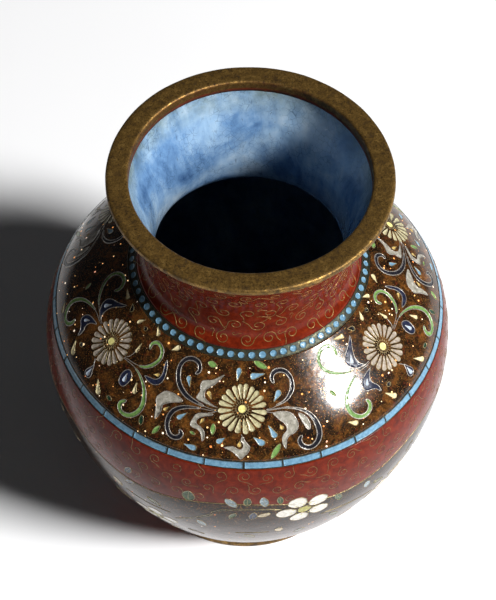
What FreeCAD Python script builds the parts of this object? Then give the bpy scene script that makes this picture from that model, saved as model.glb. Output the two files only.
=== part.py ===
import FreeCAD, Part
import math
import os
import time

# A small cloisonne enamel vase: a copper body with an enamel skin laid between
# wires, a brass mouth rim and a brass foot ring. Millimetres, +Z up, origin at the
# middle of the foot ring's underside. Angles run round the vase from its front (-Y)
# towards +X. "Arc" is the distance down the outside wall from the bead ring, and is
# negative on the neck.

os.makedirs("parts", exist_ok=True)
began = time.time()

# ---- driving dimensions ----
HEIGHT = 99.8              # foot to top of rim
RIM_R = 26.0               # mouth rim, outer radius
RIM_IN_R = 21.9            # mouth rim, inner radius
RIM_T = 1.4                # thickness of the rim's flange
LIP_DEPTH = 2.4            # height of the rim's inner wall
NECK_TOP_R = 24.0          # neck outside, under the rim
BEAD_R, BEAD_Z = 22.39, 74.48      # the ring of beads at the foot of the neck
BELLY_R, BELLY_Z = 40.64, 50.21    # widest point
FOOT_TOP_R, FOOT_TOP_Z = 23.92, 2.62
FOOT_R, FOOT_IN_R = 24.7, 22.6     # foot ring, outside and inside
ENAMEL = 0.5               # enamel outside and inside
RELIEF = 0.10              # how far wires and coloured cells stand proud of the ground
COPPER = 0.8               # copper wall
WIRE = 0.13                # cloison wire, thickness
BEADS, BEAD_RADIUS = 72, 0.80
LINE_SEGMENTS, LINE_PHASE = 33, -0.2
LINE_TOP, LINE_BOTTOM = 19.95, 21.35   # arc of the turquoise line under the shoulder
LINE_WIRE = 0.2
RED_EDGE = 32.9            # arc of the red band's lower edge
LOW_LINE_TOP, LOW_LINE_BOTTOM = 69.4, 70.7
LOW_SEGMENTS = 30

# ---- ornament of the shoulder, drawn flat ----
# Every outline is in drawing units about its own flower: U_DEG units to a degree
# round the vase, U_MM units to a millimetre down the wall.
U_DEG, U_MM = 12.54, 22.46
# flowers: (angle from the front, kind), and the arc of each kind's centre
FLOWERS = [(-57.1, "lilac"), (-1.2, "cream"), (57.4, "lilac"),
           (114.5, "cream"), (176.5, "lilac"), (239.5, "cream")]
FLOWER_ARC = {"lilac": 9.57, "cream": 9.88}
# half designs: the right-hand or left-hand side of a flower
CREAM_LEFT = [
    ("scroll", "dark", [(-172, 9, 7), (-205, 2, 12), (-245, -9, 17), (-277, -26, 19), (-305, -50, 20),
                        (-325, -82, 20), (-333, -114, 20), (-325, -142, 19), (-305, -158, 18), (-277, -164, 17),
                        (-249, -158, 17), (-233, -142, 18), (-230, -124, 16), (-240, -113, 11)]),
    ("scroll", "dark", [(-186, 24, 5), (-210, 27, 8), (-237, 34, 12), (-265, 48, 15), (-285, 70, 17), (-293, 98, 17),
                        (-291, 126, 16), (-281, 152, 16), (-265, 169, 17), (-245, 171, 18), (-231, 160, 18),
                        (-227, 146, 15), (-234, 136, 10)]),
    ("poly", "white", [(-99, -132), (-119, -108), (-139, -86), (-157, -72), (-171, -60), (-176, -44), (-170, -25),
                       (-155, -14), (-137, -6), (-122, 3), (-146, 0), (-175, -6), (-204, -14), (-202, -32),
                       (-197, -50), (-203, -70), (-199, -89), (-175, -97), (-149, -104), (-123, -119)]),
    ("drop", "gold", (-157, -47, 8.5, -141, -24)),
    ("poly", "white", [(-124, 34), (-157, 38), (-185, 47), (-197, 70), (-203, 94), (-193, 106), (-173, 109),
                       (-158, 119), (-150, 137), (-146, 152), (-142, 152), (-139, 138), (-145, 112), (-160, 97), (-178, 89),
                       (-181, 73), (-169, 58), (-147, 47), (-124, 40)]),
    ("drop", "gold", (-158, 67, 6.5, -166, 85)),
    ("poly", "white", [(-262, 12), (-289, 3), (-317, 0), (-345, 5), (-360, 22), (-371, 46), (-362, 68), (-353, 92),
                       (-347, 116), (-341, 130), (-334, 110), (-331, 84), (-334, 66), (-322, 50), (-303, 38),
                       (-283, 29), (-264, 21)]),
    ("drop", "gold", (-318, 76, 6.5, -306, 58)),
    ("drop", "turquoise", (-268, -82, 11, -250, -48)),
    ("drop", "turquoise", (-252, 84, 10, -226, 55)),
    ("drop", "turquoise", (-173, 192, 13, -209, 186)),
    ("drop", "turquoise", (-82, 143, 11, -60, 124)),
    ("leaf", "green", (-171, -166, 26, 13, 8)),
    ("leaf", "green", (-111, 96, 24, 10, 88)),
    ("leaf", "green", (-323, 172, 25, 9, 112)),
    ("leaf", "green", (-186, 130, 12, 6, 20)),
]
CREAM_RIGHT = [
    ("scroll", "dark", [(152, -9, 5), (188, -21, 9), (213, -40, 14), (232, -64, 18), (239, -93, 18), (235, -118, 18),
                        (219, -139, 17), (194, -149, 17), (169, -148, 18), (151, -138, 18), (143, -121, 17),
                        (148, -106, 11)]),
    ("scroll", "dark", [(188, 8, 4), (225, 17, 6), (253, 31, 9), (275, 50, 13), (291, 77, 16), (299, 110, 19),
                        (299, 142, 19), (288, 172, 19), (266, 192, 19), (242, 192, 18), (224, 176, 17),
                        (219, 153, 15), (227, 139, 10)]),
    ("drop", "turquoise", (166, -57, 13, 140, -24)),
    ("drop", "turquoise", (49, -135, 14, 112, -143)),
    ("drop", "turquoise", (-24, -155, 14, -31, -114)),
    ("leaf", "green", (92, -180, 40, 13, 24)),
    ("drop", "turquoise", (127, 114, 12, 106, 70)),
    ("drop", "turquoise", (77, 142, 13, 46, 117)),
    ("leaf", "green", (127, 184, 36, 11, 120)),
    ("poly", "white", [(132, 22), (160, 19), (188, 24), (208, 36), (219, 55), (225, 79), (221, 101), (205, 117),
                       (184, 125), (172, 140), (168, 160), (164, 176), (157, 160), (155, 138), (161, 118),
                       (176, 103), (179, 85), (170, 69), (155, 54), (142, 38)]),
    ("drop", "gold", (160, 88, 7, 152, 72)),
    ("poly", "white", [(236, 41), (252, 51), (266, 71), (272, 97), (267, 117), (257, 113), (248, 92), (240, 66)]),
]
CREAM_MID = [
    ("poly", "white", [(5, 114), (13, 130), (24, 145), (33, 160), (28, 180), (15, 196), (2, 212), (-13, 198),
                       (-29, 182), (-46, 172), (-62, 167), (-43, 160), (-25, 160), (-13, 168), (0, 170), (9, 158), (7, 143), (-1, 130)]),
    ("drop", "gold", (-6, 152, 7.5, -5, 133)),
]
LILAC_RIGHT = [
    ("scroll", "green", [(191, -17, 7), (217, -29, 12), (243, -55, 16), (257, -88, 16), (251, -117, 16),
                         (232, -134, 15), (207, -141, 15), (185, -135, 16), (175, -119, 15), (181, -104, 10)]),
    ("scroll", "green", [(182, 3, 5), (207, 10, 7), (236, 26, 10), (263, 49, 14), (282, 81, 17), (291, 113, 18),
                         (287, 144, 18), (271, 173, 18), (247, 190, 18), (223, 190, 17), (208, 175, 17),
                         (208, 154, 15), (219, 140, 11)]),
    ("facet", "navy", [(294, -104), (310, -80), (320, -54), (324, -26), (314, 0), (290, 14), (256, 12), (236, 2),
                      (258, -3), (284, -8), (300, -20), (305, -38), (302, -60), (294, -82)]),
    ("drop", "gold", (290, -31, 7, 268, -22)),
    ("drop", "cream", (315, -171, 12, 287, -148)),
    ("drop", "cream", (233, 84, 9, 221, 45)),
    ("poly", "navy", [(145, 40), (160, 24), (178, 30), (190, 48), (189, 72), (180, 95), (162, 99), (148, 86), (142, 62)]),
    ("drop", "cream", (132, -56, 8, 127, -96)),
    ("drop", "cream", (172, -172, 10, 138, -196)),
    ("drop", "black", (92, -150, 9, 74, -152)),
    ("drop", "cream", (101, 196, 11, 70, 152)),
    ("leaf", "deep", (155, 178, 13, 9, 10)),
    ("leaf", "deep", (311, 172, 22, 9, 78)),
]
LILAC_LEFT = [
    ("scroll", "green", [(-208, -20, 6), (-240, -30, 9), (-280, -50, 13), (-313, -76, 16), (-330, -107, 17),
                         (-323, -138, 17), (-297, -160, 17), (-262, -167, 17), (-233, -156, 18), (-219, -134, 17),
                         (-225, -113, 11)]),
    ("scroll", "green", [(-196, 6, 5), (-218, 14, 8), (-247, 29, 11), (-275, 53, 14), (-292, 84, 17),
                         (-296, 115, 18), (-285, 145, 18), (-262, 167, 17), (-237, 171, 17), (-216, 160, 17),
                         (-206, 138, 15), (-210, 121, 10)]),
    ("poly", "navy", [(-100, -140), (-128, -122), (-160, -104), (-188, -88), (-205, -64), (-198, -38), (-176, -18),
                      (-146, -6), (-126, -2), (-142, -17), (-150, -36), (-150, -58), (-142, -80), (-128, -100),
                      (-112, -118)]),
    ("poly", "navy", [(-122, 22), (-156, 28), (-186, 42), (-198, 66), (-190, 88), (-168, 96), (-150, 108),
                      (-138, 128), (-134, 112), (-138, 94), (-148, 78), (-150, 58), (-140, 40)]),
    ("drop", "cream", (-140, -160, 10, -196, -172)),
    ("drop", "black", (-58, -152, 11, -84, -168)),
    ("drop", "cream", (-98, 190, 11, -128, 148)),
    ("leaf", "black", (-93, 131, 11, 9, 0)),
    ("leaf", "green", (-330, 20, 18, 8, 60)),
    ("drop", "cream", (-290, 180, 10, -318, 160)),
]
LILAC_MID = [
    ("drop", "cream", (30, -148, 10, 52, -176)),
    ("drop", "navy", (20, 176, 17, 18, 128)),
]
# pale cores set in the middle of the navy leaves: (left or right design, index) cut out of them
CORES = {"LILAC_RIGHT": [("drop", "pale", (167, 72, 8, 162, 42))],
         "LILAC_LEFT": [("drop", "pale", (-176, -50, 9, -160, -78)), ("drop", "pale", (-174, 66, 7, -160, 46))],
         "LILAC_MID": [("drop", "pale", (20, 178, 8, 19, 146))]}
DESIGN = {"cream": [CREAM_LEFT, CREAM_MID, CREAM_RIGHT], "lilac": [LILAC_LEFT, LILAC_MID, LILAC_RIGHT]}

# ---- ornament of the frieze: one spray, repeated every 120 degrees ----
# blossoms: (angle, arc, size); petals sit 72 degrees apart round each centre
BLOSSOMS = [(16.8, 36.9, 1.0, 12.0), (-27.5, 51.0, 0.86, 40.0), (48.0, 50.5, 0.92, 5.0)]
BUDS = [(5.6, 36.9, 1.05, -28), (-38.5, 41.0, 1.2, 60), (61.0, 42.5, 1.2, -50), (10.5, 47.5, 1.1, 80)]
# leaves: (angle, arc, half length, half width, tilt from the parallel, colour)
LEAVES = [(-3.4, 31.7, 1.85, 0.92, 58, "grey"), (5.5, 31.3, 1.85, 0.85, 80, "grey"),
          (1.0, 31.1, 1.5, 0.75, 92, "green"), (9.8, 31.2, 1.4, 0.6, 84, "green"),
          (2.6, 37.2, 1.7, 0.8, 96, "navy"), (-3.0, 37.3, 1.5, 0.6, 110, "green"),
          (-15.0, 31.6, 1.9, 1.25, 92, "green"), (26.9, 36.6, 2.0, 0.7, 70, "green"),
          (-33.3, 31.6, 1.5, 0.7, 115, "navy"), (-26.0, 40.5, 1.8, 0.8, 40, "green"),
          (-33.5, 36.6, 1.7, 0.7, 130, "navy"), (-12.0, 44.2, 1.9, 0.8, 70, "grey"),
          (-24.0, 60.5, 1.9, 0.8, 95, "green"), (-40.5, 51.0, 1.9, 0.8, 10, "green"),
          (-15.0, 54.5, 1.8, 0.8, 25, "navy"), (27.5, 47.0, 1.9, 0.8, 60, "green"),
          (36.5, 38.0, 1.8, 0.8, 80, "grey"), (41.5, 41.0, 1.7, 0.7, 30, "green"),
          (54.0, 38.0, 1.8, 0.8, 110, "navy"), (62.0, 51.0, 1.9, 0.8, 15, "green"),
          (46.0, 61.0, 1.9, 0.8, 85, "grey"), (35.0, 56.5, 1.8, 0.75, 140, "green"),
          (2.0, 52.0, 1.8, 0.8, 60, "green"), (17.5, 52.5, 1.8, 0.8, 120, "grey")]
# stems: centre lines (angle, arc, width)
STEMS = [[(-8.5, 36.6, 0.55), (-5.5, 34.9, 0.5), (0.0, 34.2, 0.42), (6.5, 34.4, 0.36), (10.2, 35.2, 0.25)],
         [(-8.9, 37.8, 0.55), (-12.5, 40.6, 0.52), (-17.0, 43.9, 0.48), (-20.0, 46.2, 0.36)],
         [(22.8, 43.0, 0.5), (28.5, 43.6, 0.48), (34.5, 44.6, 0.44), (41.0, 46.2, 0.34)],
         [(-21.5, 43.2, 0.34), (-29.0, 43.3, 0.32), (-35.8, 42.2, 0.22)],
         [(46.5, 43.4, 0.3), (52.5, 43.2, 0.28), (58.2, 43.2, 0.2)],
         [(-2.0, 48.6, 0.4), (3.0, 48.4, 0.36), (7.4, 48.6, 0.24)]]
SPRAY_ANGLES = (0.0, 120.0, 240.0)


# ---- profile of the vase ----
def bez(p0, p1, p2, p3, n):
    pts = []
    for i in range(n + 1):
        t = i / n
        a, b, c, d = (1 - t) ** 3, 3 * t * (1 - t) ** 2, 3 * t * t * (1 - t), t ** 3
        pts.append((a * p0[0] + b * p1[0] + c * p2[0] + d * p3[0], a * p0[1] + b * p1[1] + c * p2[1] + d * p3[1]))
    return pts


RIM_BOTTOM = HEIGHT - RIM_T
SHOULDER = 0.596           # slope of the shoulder where it leaves the bead ring, radians
cs, sn = math.cos(SHOULDER), math.sin(SHOULDER)
profile = bez((NECK_TOP_R, RIM_BOTTOM), (NECK_TOP_R, 95.6), (18.75, 88.0), (19.8, 78.0), 600)
profile += bez((19.8, 78.0), (19.97, 76.4), (BEAD_R - 1.3 * cs, BEAD_Z + 1.3 * sn), (BEAD_R, BEAD_Z), 200)[1:]
n_bead = len(profile) - 1
profile += bez((BEAD_R, BEAD_Z), (BEAD_R + 14.54 * cs, BEAD_Z - 14.54 * sn), (BELLY_R, BELLY_Z + 14.3), (BELLY_R, BELLY_Z), 800)[1:]
profile += bez((BELLY_R, BELLY_Z), (BELLY_R, BELLY_Z - 17.29), (FOOT_TOP_R + 12.95 * math.cos(0.989), FOOT_TOP_Z + 12.95 * math.sin(0.989)), (FOOT_TOP_R, FOOT_TOP_Z), 1500)[1:]
arc = [0.0]
for (r0, z0), (r1, z1) in zip(profile, profile[1:]):
    arc.append(arc[-1] + math.hypot(r1 - r0, z1 - z0))
zero = arc[n_bead]
arc = [a - zero for a in arc]
S_TOP, S_END = arc[0], arc[-1]


def at(s):
    """radius, height and outward normal of the outside wall at an arc"""
    s = min(max(s, S_TOP), S_END)
    lo, hi = 0, len(arc) - 1
    while hi - lo > 1:
        mid = (lo + hi) // 2
        if arc[mid] <= s:
            lo = mid
        else:
            hi = mid
    t = (s - arc[lo]) / (arc[hi] - arc[lo])
    r = profile[lo][0] + t * (profile[hi][0] - profile[lo][0])
    z = profile[lo][1] + t * (profile[hi][1] - profile[lo][1])
    a, b = max(lo - 4, 0), min(hi + 4, len(arc) - 1)
    dr, dz = profile[b][0] - profile[a][0], profile[b][1] - profile[a][1]
    length = math.hypot(dr, dz)
    return r, z, -dz / length, dr / length


STEPS = 84
S_NODES = [S_TOP + (S_END - S_TOP) * i / STEPS for i in range(STEPS + 1)]
V = FreeCAD.Vector


def layer(depth):
    pts = []
    for i, s in enumerate(S_NODES):
        r, z, nr, nz = at(s)
        if i == 0:
            nr, nz = 1.0, 0.0
        pts.append(V(r - depth * nr, 0, z - depth * nz))
    curve = Part.BSplineCurve()
    curve.interpolate(Points=pts, Parameters=S_NODES)
    return curve


OUT, MID, COP, INN = layer(0.0), layer(ENAMEL), layer(ENAMEL + COPPER), layer(2 * ENAMEL + COPPER)
SKIN = layer(-RELIEF)      # the face of the wires and coloured cells, just proud of the ground enamel
SEAM = 118.0               # the seam of every revolved face is turned away to the back


def ring(sa, sb, a=OUT, b=MID, sweep=360.0, start=SEAM):
    pa, pb, qa, qb = a.value(sa), a.value(sb), b.value(sa), b.value(sb)
    wire = Part.Wire([a.toShape(sa, sb), Part.makeLine(pb, qb), b.toShape(sa, sb), Part.makeLine(qa, pa)])
    face = Part.Face(wire)
    face.rotate(V(0, 0, 0), V(0, 0, 1), start)
    return face.revolve(V(0, 0, 0), V(0, 0, 1), sweep)


def turned(points):
    """a solid turned from a closed (radius, height) outline"""
    vs = [V(r, 0, z) for r, z in points]
    face = Part.Face(Part.makePolygon(vs + vs[:1]))
    face.rotate(V(0, 0, 0), V(0, 0, 1), SEAM)
    return face.revolve(V(0, 0, 0), V(0, 0, 1), 360)


def on_wall(deg, s, curve=OUT):
    p = curve.value(min(max(s, S_TOP), S_END))
    a = math.radians(deg)
    return V(p.x * math.sin(a), -p.x * math.cos(a), p.z)


def normal(deg, s):
    r, z, nr, nz = at(s)
    a = math.radians(deg)
    return V(nr * math.sin(a), -nr * math.cos(a), nz)


def prism(outline, reach=2.2, straight=False):
    """a cell: a closed outline of (degrees, arc) on the wall, carried through it along the normal"""
    deg = sum(p[0] for p in outline) / len(outline)
    s = sum(p[1] for p in outline) / len(outline)
    n, c = normal(deg, s), on_wall(deg, s)
    flat = []
    for d, a in outline:
        p = on_wall(d, a)
        flat.append(p - n * ((p - c).dot(n)))
    if straight:
        wire = Part.makePolygon(flat + flat[:1])
    else:
        curve = Part.BSplineCurve()
        curve.interpolate(Points=flat, PeriodicFlag=True)
        wire = Part.Wire(curve.toShape())
    face = Part.Face(wire)
    face.translate(n * -reach)
    return face.extrude(n * (2 * reach))


# ---- flat outlines of the cells ----
def drop(hx, hy, r, tx, ty):
    dx, dy = tx - hx, ty - hy
    length = math.hypot(dx, dy)
    ux, uy = dx / length, dy / length
    side = [(-1.0 * r, 0), (-0.70 * r, 0.72 * r), (0, r), (0.75 * r if length > 1.5 * r else 0.5 * r, 0.86 * r), (length * 0.62, 0.42 * r), (length, 0.0)]
    up = [(hx + a * ux - b * uy, hy + a * uy + b * ux) for a, b in side]
    return up + [(hx + a * ux + b * uy, hy + a * uy - b * ux) for a, b in side[1:-1]][::-1]


def leaf(cx, cy, hl, hw, ang):
    ux, uy = math.cos(math.radians(ang)), math.sin(math.radians(ang))
    side = [(-1, 0), (-.62, .72), (0, 1), (.62, .68), (1, 0)]
    up = [(cx + p * hl * ux - q * hw * uy, cy + p * hl * uy + q * hw * ux) for p, q in side]
    return up + [(cx + p * hl * ux + q * hw * uy, cy + p * hl * uy - q * hw * ux) for p, q in side[1:-1]][::-1]


def ribbon(pts, blunt=True):
    left, right = [], []
    n = len(pts)
    for i, (x, y, w) in enumerate(pts):
        x0, y0 = pts[max(i - 1, 0)][:2]
        x1, y1 = pts[min(i + 1, n - 1)][:2]
        tx, ty = x1 - x0, y1 - y0
        k = math.hypot(tx, ty)
        tx, ty = tx / k, ty / k
        left.append((x - ty * w / 2, y + tx * w / 2))
        right.append((x + ty * w / 2, y - tx * w / 2))
        if i == 0:
            tip0 = (x - tx * w / 2, y - ty * w / 2)
        if i == n - 1:
            tip1 = (x + tx * w / 2, y + ty * w / 2)
    return [tip0] + left + [tip1] + right[::-1]


def grown(outline, w):
    """the outline pushed outwards by w"""
    n = len(outline)
    area = sum(outline[i][0] * outline[(i + 1) % n][1] - outline[(i + 1) % n][0] * outline[i][1] for i in range(n))
    sign = 1.0 if area > 0 else -1.0
    out = []
    for i in range(n):
        (x0, y0), (x, y), (x1, y1) = outline[i - 1], outline[i], outline[(i + 1) % n]
        ax, ay = x - x0, y - y0
        bx, by = x1 - x, y1 - y
        la, lb = math.hypot(ax, ay), math.hypot(bx, by)
        nx, ny = ay / la + by / lb, -ax / la - bx / lb
        k = math.hypot(nx, ny)
        if k < 0.35:
            out.append((x + sign * w * (ax / la), y + sign * w * (ay / la)) if sign > 0 else (x + w * ax / la, y + w * ay / la))
            continue
        m = min(2.0 / k, 1.6)
        out.append((x + sign * w * m * nx / k, y + sign * w * m * ny / k))
    return out


def petal_outlines(r0=41, r1=104, n=20):
    out = []
    for k in range(n):
        a = 2 * math.pi * (k + 0.5) / n
        ux, uy = math.cos(a), math.sin(a)
        length = r1 - r0
        side = [(0, 0), (0.18 * length, 4.2), (0.52 * length, 7.8), (0.80 * length, 10.6), (0.95 * length, 7.6), (length, 0)]
        up = [((r0 + p) * ux - q * uy, (r0 + p) * uy + q * ux) for p, q in side]
        out.append(up + [((r0 + p) * ux + q * uy, (r0 + p) * uy - q * ux) for p, q in side[1:-1]][::-1])
    return out


SHAPES = {"poly": lambda d: list(d), "facet": lambda d: list(d), "drop": lambda d: drop(*d), "leaf": lambda d: leaf(*d), "scroll": ribbon}
nodes = {}


def add(name, shape):
    nodes.setdefault(name, []).append(shape)


def save(name):
    parts = nodes[name]
    solids = []
    for p in parts:
        solids += p.Solids
    shape = solids[0] if len(solids) == 1 else Part.makeCompound(solids)
    bad = [i for i, s in enumerate(solids) if not s.isValid() or s.Volume <= 0]
    shape.exportStep("parts/" + name + ".step")
    print(name, len(solids), "solids", round(sum(s.Volume for s in solids), 2), "mm3", "BAD %s" % bad if bad else "", flush=True)


# ---- copper body, lining, rim and foot ----
FLOOR_Z = 2.89
floor_low, floor_top = FLOOR_Z, FLOOR_Z + COPPER


def arc_at_height(curve, z):
    lo, hi = 60.0, S_END
    for _ in range(60):
        mid = 0.5 * (lo + hi)
        if curve.value(mid).z > z:
            lo = mid
        else:
            hi = mid
    return 0.5 * (lo + hi)


def closed_shell(a, b, z_low, z_top, s_low, s_high, start=S_TOP):
    """wall between two layers from an arc of the wall down, closed by a flat floor"""
    pa, pb = a.value(s_low), b.value(s_high)
    edges = [a.toShape(start, s_low)]
    if abs(pa.z - z_low) > 1e-6:
        edges.append(Part.makeLine(pa, V(pa.x, 0, z_low)))
    edges += [Part.makeLine(V(pa.x, 0, z_low), V(0, 0, z_low)), Part.makeLine(V(0, 0, z_low), V(0, 0, z_top)),
              Part.makeLine(V(0, 0, z_top), pb), b.toShape(start, s_high), Part.makeLine(b.value(start), a.value(start))]
    face = Part.Face(Part.Wire(Part.__sortEdges__(edges)))
    face.rotate(V(0, 0, 0), V(0, 0, 1), SEAM)
    return face.revolve(V(0, 0, 0), V(0, 0, 1), 360)


end = MID.value(S_END)
FLOOR_Z = end.z
s_floor = arc_at_height(COP, FLOOR_Z + COPPER)
z_floor = COP.value(s_floor).z
# the vessel is raised in two pieces, a bowl and a waisted neck, joined under the row of beads
add("copper_bowl", closed_shell(MID, COP, FLOOR_Z, z_floor, S_END, s_floor, start=0.0))
add("copper_neck", ring(S_TOP, 0.0, MID, COP))
s_lining = arc_at_height(INN, z_floor + ENAMEL)
add("inner_enamel", closed_shell(COP, INN, z_floor, INN.value(s_lining).z, s_floor, s_lining))

add("mouth_rim", turned([(RIM_IN_R, HEIGHT - LIP_DEPTH), (INN.value(S_TOP).x, HEIGHT - LIP_DEPTH), (INN.value(S_TOP).x, RIM_BOTTOM),
                         (RIM_R - 0.25, RIM_BOTTOM), (RIM_R, RIM_BOTTOM + 0.25), (RIM_R, HEIGHT - 0.35), (RIM_R - 0.1, HEIGHT - 0.12),
                         (RIM_R - 0.35, HEIGHT), (RIM_IN_R + 0.3, HEIGHT), (RIM_IN_R + 0.08, HEIGHT - 0.09), (RIM_IN_R, HEIGHT - 0.3)]))
foot_out = OUT.value(S_END)
add("foot_ring", turned([(FOOT_IN_R, FLOOR_Z), (end.x, FLOOR_Z), (foot_out.x, foot_out.z), (FOOT_R - 0.12, 1.6), (FOOT_R, 0.5),
                         (FOOT_R - 0.2, 0.0), (FOOT_IN_R + 0.35, 0.0), (FOOT_IN_R, 0.35)]))
add("base_enamel", turned([(0, FLOOR_Z - ENAMEL), (FOOT_IN_R, FLOOR_Z - ENAMEL), (FOOT_IN_R, FLOOR_Z), (0, FLOOR_Z)]))

# ---- the ring of beads between two border wires ----
BAND = BEAD_RADIUS + 0.12
bead_band = ring(-BAND - 0.12, BAND + 0.12)
cells = []
for k in range(BEADS):
    deg = 360.0 * (k + 0.5) / BEADS
    half = math.degrees(BEAD_RADIUS / BEAD_R)
    cells.append(prism([(deg + half * math.cos(i * math.pi / 4), BEAD_RADIUS * math.sin(i * math.pi / 4)) for i in range(8)], 1.2))
beads = bead_band.common(Part.makeCompound(cells))
add("neck_beads", beads)
add("bead_ring_wires", bead_band.cut(cells))
print("beads", flush=True)

# ---- turquoise lines: short bars between dividing wires ----
def line(top, bottom, count, phase, bars, wires):
    gap = math.degrees(LINE_WIRE / at(top)[0])
    step = 360.0 / count
    add(wires, ring(top - LINE_WIRE, top))
    add(wires, ring(bottom, bottom + LINE_WIRE))
    for k in range(count):
        start = -90.0 + phase + k * step
        add(bars, ring(top, bottom, sweep=step - gap, start=start + gap / 2))
        add(wires, ring(top, bottom, sweep=gap, start=start - gap / 2))


line(LINE_TOP, LINE_BOTTOM, LINE_SEGMENTS, LINE_PHASE, "shoulder_line_bars", "shoulder_line_wires")
line(LOW_LINE_TOP, LOW_LINE_BOTTOM, LOW_SEGMENTS, 4.0, "lower_line_bars", "lower_line_wires")
print("lines", flush=True)

# ---- shoulder: aventurine ground with inlaid cells ----
NAMES = {"dark": "dark_scrolls", "green_scroll": "green_scrolls", "white": "white_leaves", "gold": "gold_drops",
         "turquoise": "turquoise_drops", "green": "green_leaves", "navy": "navy_leaves", "cream": "cream_drops",
         "black": "black_drops", "deep": "deep_green_leaves", "pale": "pale_leaf_cores"}
WIRED = {"dark": "scroll_wires", "green_scroll": "scroll_wires"}
S_LOW, S_HIGH = BAND + 0.12, LINE_TOP - LINE_WIRE
# each flower's own stretch of the shoulder, in degrees to either side of it
REACH = {"cream": (-29.75, 26.0), "lilac": (-26.9, 26.15)}


def place(outline, deg, s):
    return [(deg + x / U_DEG, s + y / U_MM) for x, y in outline]


def spun(shape, deg):
    copy = shape.copy()
    copy.rotate(V(0, 0, 0), V(0, 0, 1), deg)
    return copy


made = {}
for kind in ("cream", "lilac"):
    s = FLOWER_ARC[kind]
    low, high = REACH[kind]
    sector = ring(S_LOW, S_HIGH, SKIN, OUT, sweep=high - low, start=-90.0 + low)
    out = []
    petals = [prism(place(o, 0, s), 1.0, straight=True) for o in petal_outlines()]
    out.append(("chrysanthemum_petals_" + kind, sector.common(Part.makeCompound(petals))))
    disc = prism(place([(17 * math.cos(i * math.pi / 6), 17 * math.sin(i * math.pi / 6)) for i in range(12)], 0, s), 1.0)
    out.append(("chrysanthemum_centres", sector.common(disc)))
    cores = [] if kind == "cream" else [c for group in CORES.values() for c in group]
    core_prisms = [prism(place(drop(*d), 0, s), 2.0) for _, _, d in cores]
    for c in core_prisms:
        out.append(("pale_leaf_cores", sector.common(c)))
    for group in DESIGN[kind]:
        for shape, colour, data in group:
            key = "green_scroll" if (shape, colour) == ("scroll", "green") else colour
            outline = SHAPES[shape](data)
            inner = prism(place(outline, 0, s), straight=shape == "facet")
            if key in WIRED:
                outer = prism(place(grown(outline, WIRE * U_MM), 0, s))
                both = sector.common(outer)
                out.append((NAMES[key], both.common(inner)))
                out.append((WIRED[key], both.cut(inner)))
            else:
                body = sector.common(inner)
                out.append((NAMES[key], body.cut(core_prisms) if colour == "navy" else body))
    made[kind] = out
    print(kind, round(time.time() - began), flush=True)
for deg, kind in FLOWERS:
    for name, shape in made[kind]:
        add(name, spun(shape, deg))
add("shoulder_enamel", ring(S_LOW, S_HIGH))
print("shoulder", round(time.time() - began), flush=True)

# ---- neck: red enamel with a diaper of small wire scrolls ----
def curl(deg, s, r, turn, flip, tail):
    """a small hooked scroll: a spiral of one and a third turns running out into a tail"""
    ref = at(s)[0]
    pts = []
    n = 9
    for i in range(n):
        t = i / (n - 1)
        a = math.radians(turn + flip * 430.0 * t)
        rad = r * (0.22 + 0.78 * t)
        pts.append((rad * math.cos(a), rad * math.sin(a)))
    (x0, y0), (x1, y1) = pts[-2], pts[-1]
    k = math.hypot(x1 - x0, y1 - y0)
    tx, ty = (x1 - x0) / k, (y1 - y0) / k
    for j in (1, 2):
        pts.append((x1 + tx * tail * j / 2 + flip * ty * 0.12 * tail * j * j / 2, y1 + ty * tail * j / 2 - flip * tx * 0.12 * tail * j * j / 2))
    out = ribbon([(x, y, WIRE) for x, y in pts])
    return [(deg + math.degrees(x / ref), s + y) for x, y in out]


NECK_SECTORS = 14
step = 360.0 / NECK_SECTORS
sector = ring(S_TOP, -BAND - 0.12, SKIN, OUT, sweep=step, start=-90.0 - step / 2)
curls = []
for row, s in enumerate((-3.0, -7.4)):
    for k in (0, 1):
        curls.append(prism(curl(step * (k - 0.5) / 2 + (0.6 if row % 2 else -0.6), s + 0.5 * k, 1.15, 90.0 * (row + 2 * k) + 25, 1 if (k + row) % 2 else -1, 0.9), 1.2))
wires = sector.common(Part.makeCompound(curls))
for k in range(NECK_SECTORS):
    add("neck_scroll_wires", spun(wires, k * step))
add("neck_enamel", ring(S_TOP, -BAND - 0.12))
print("neck", round(time.time() - began), flush=True)

# ---- belly: red band, then the dark frieze with its three sprays ----
START, THIRD = -50.0, 120.0
whole = ring(LINE_BOTTOM + LINE_WIRE, LOW_LINE_TOP - LINE_WIRE, SKIN, OUT, sweep=THIRD, start=-90.0 + START)
third = []


def inlay(name, outline, straight=False):
    third.append((name, whole.common(prism(outline, straight=straight))))


def rounded(pts, n=3):
    """points of a smooth line through pts"""
    ends = [pts[0]] + list(pts) + [pts[-1]]
    out = []
    for p0, p1, p2, p3 in zip(ends, ends[1:], ends[2:], ends[3:]):
        for k in range(n):
            t = k / n
            out.append(tuple(0.5 * (2 * b + (c - a) * t + (2 * a - 5 * b + 4 * c - d) * t * t + (3 * b - a - 3 * c + d) * t ** 3)
                             for a, b, c, d in zip(p0, p1, p2, p3)))
    return out + [pts[-1]]


def local(deg, s, pts):
    ref = at(s)[0]
    return [(deg + math.degrees(x / ref), s + y) for x, y in pts]


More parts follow.
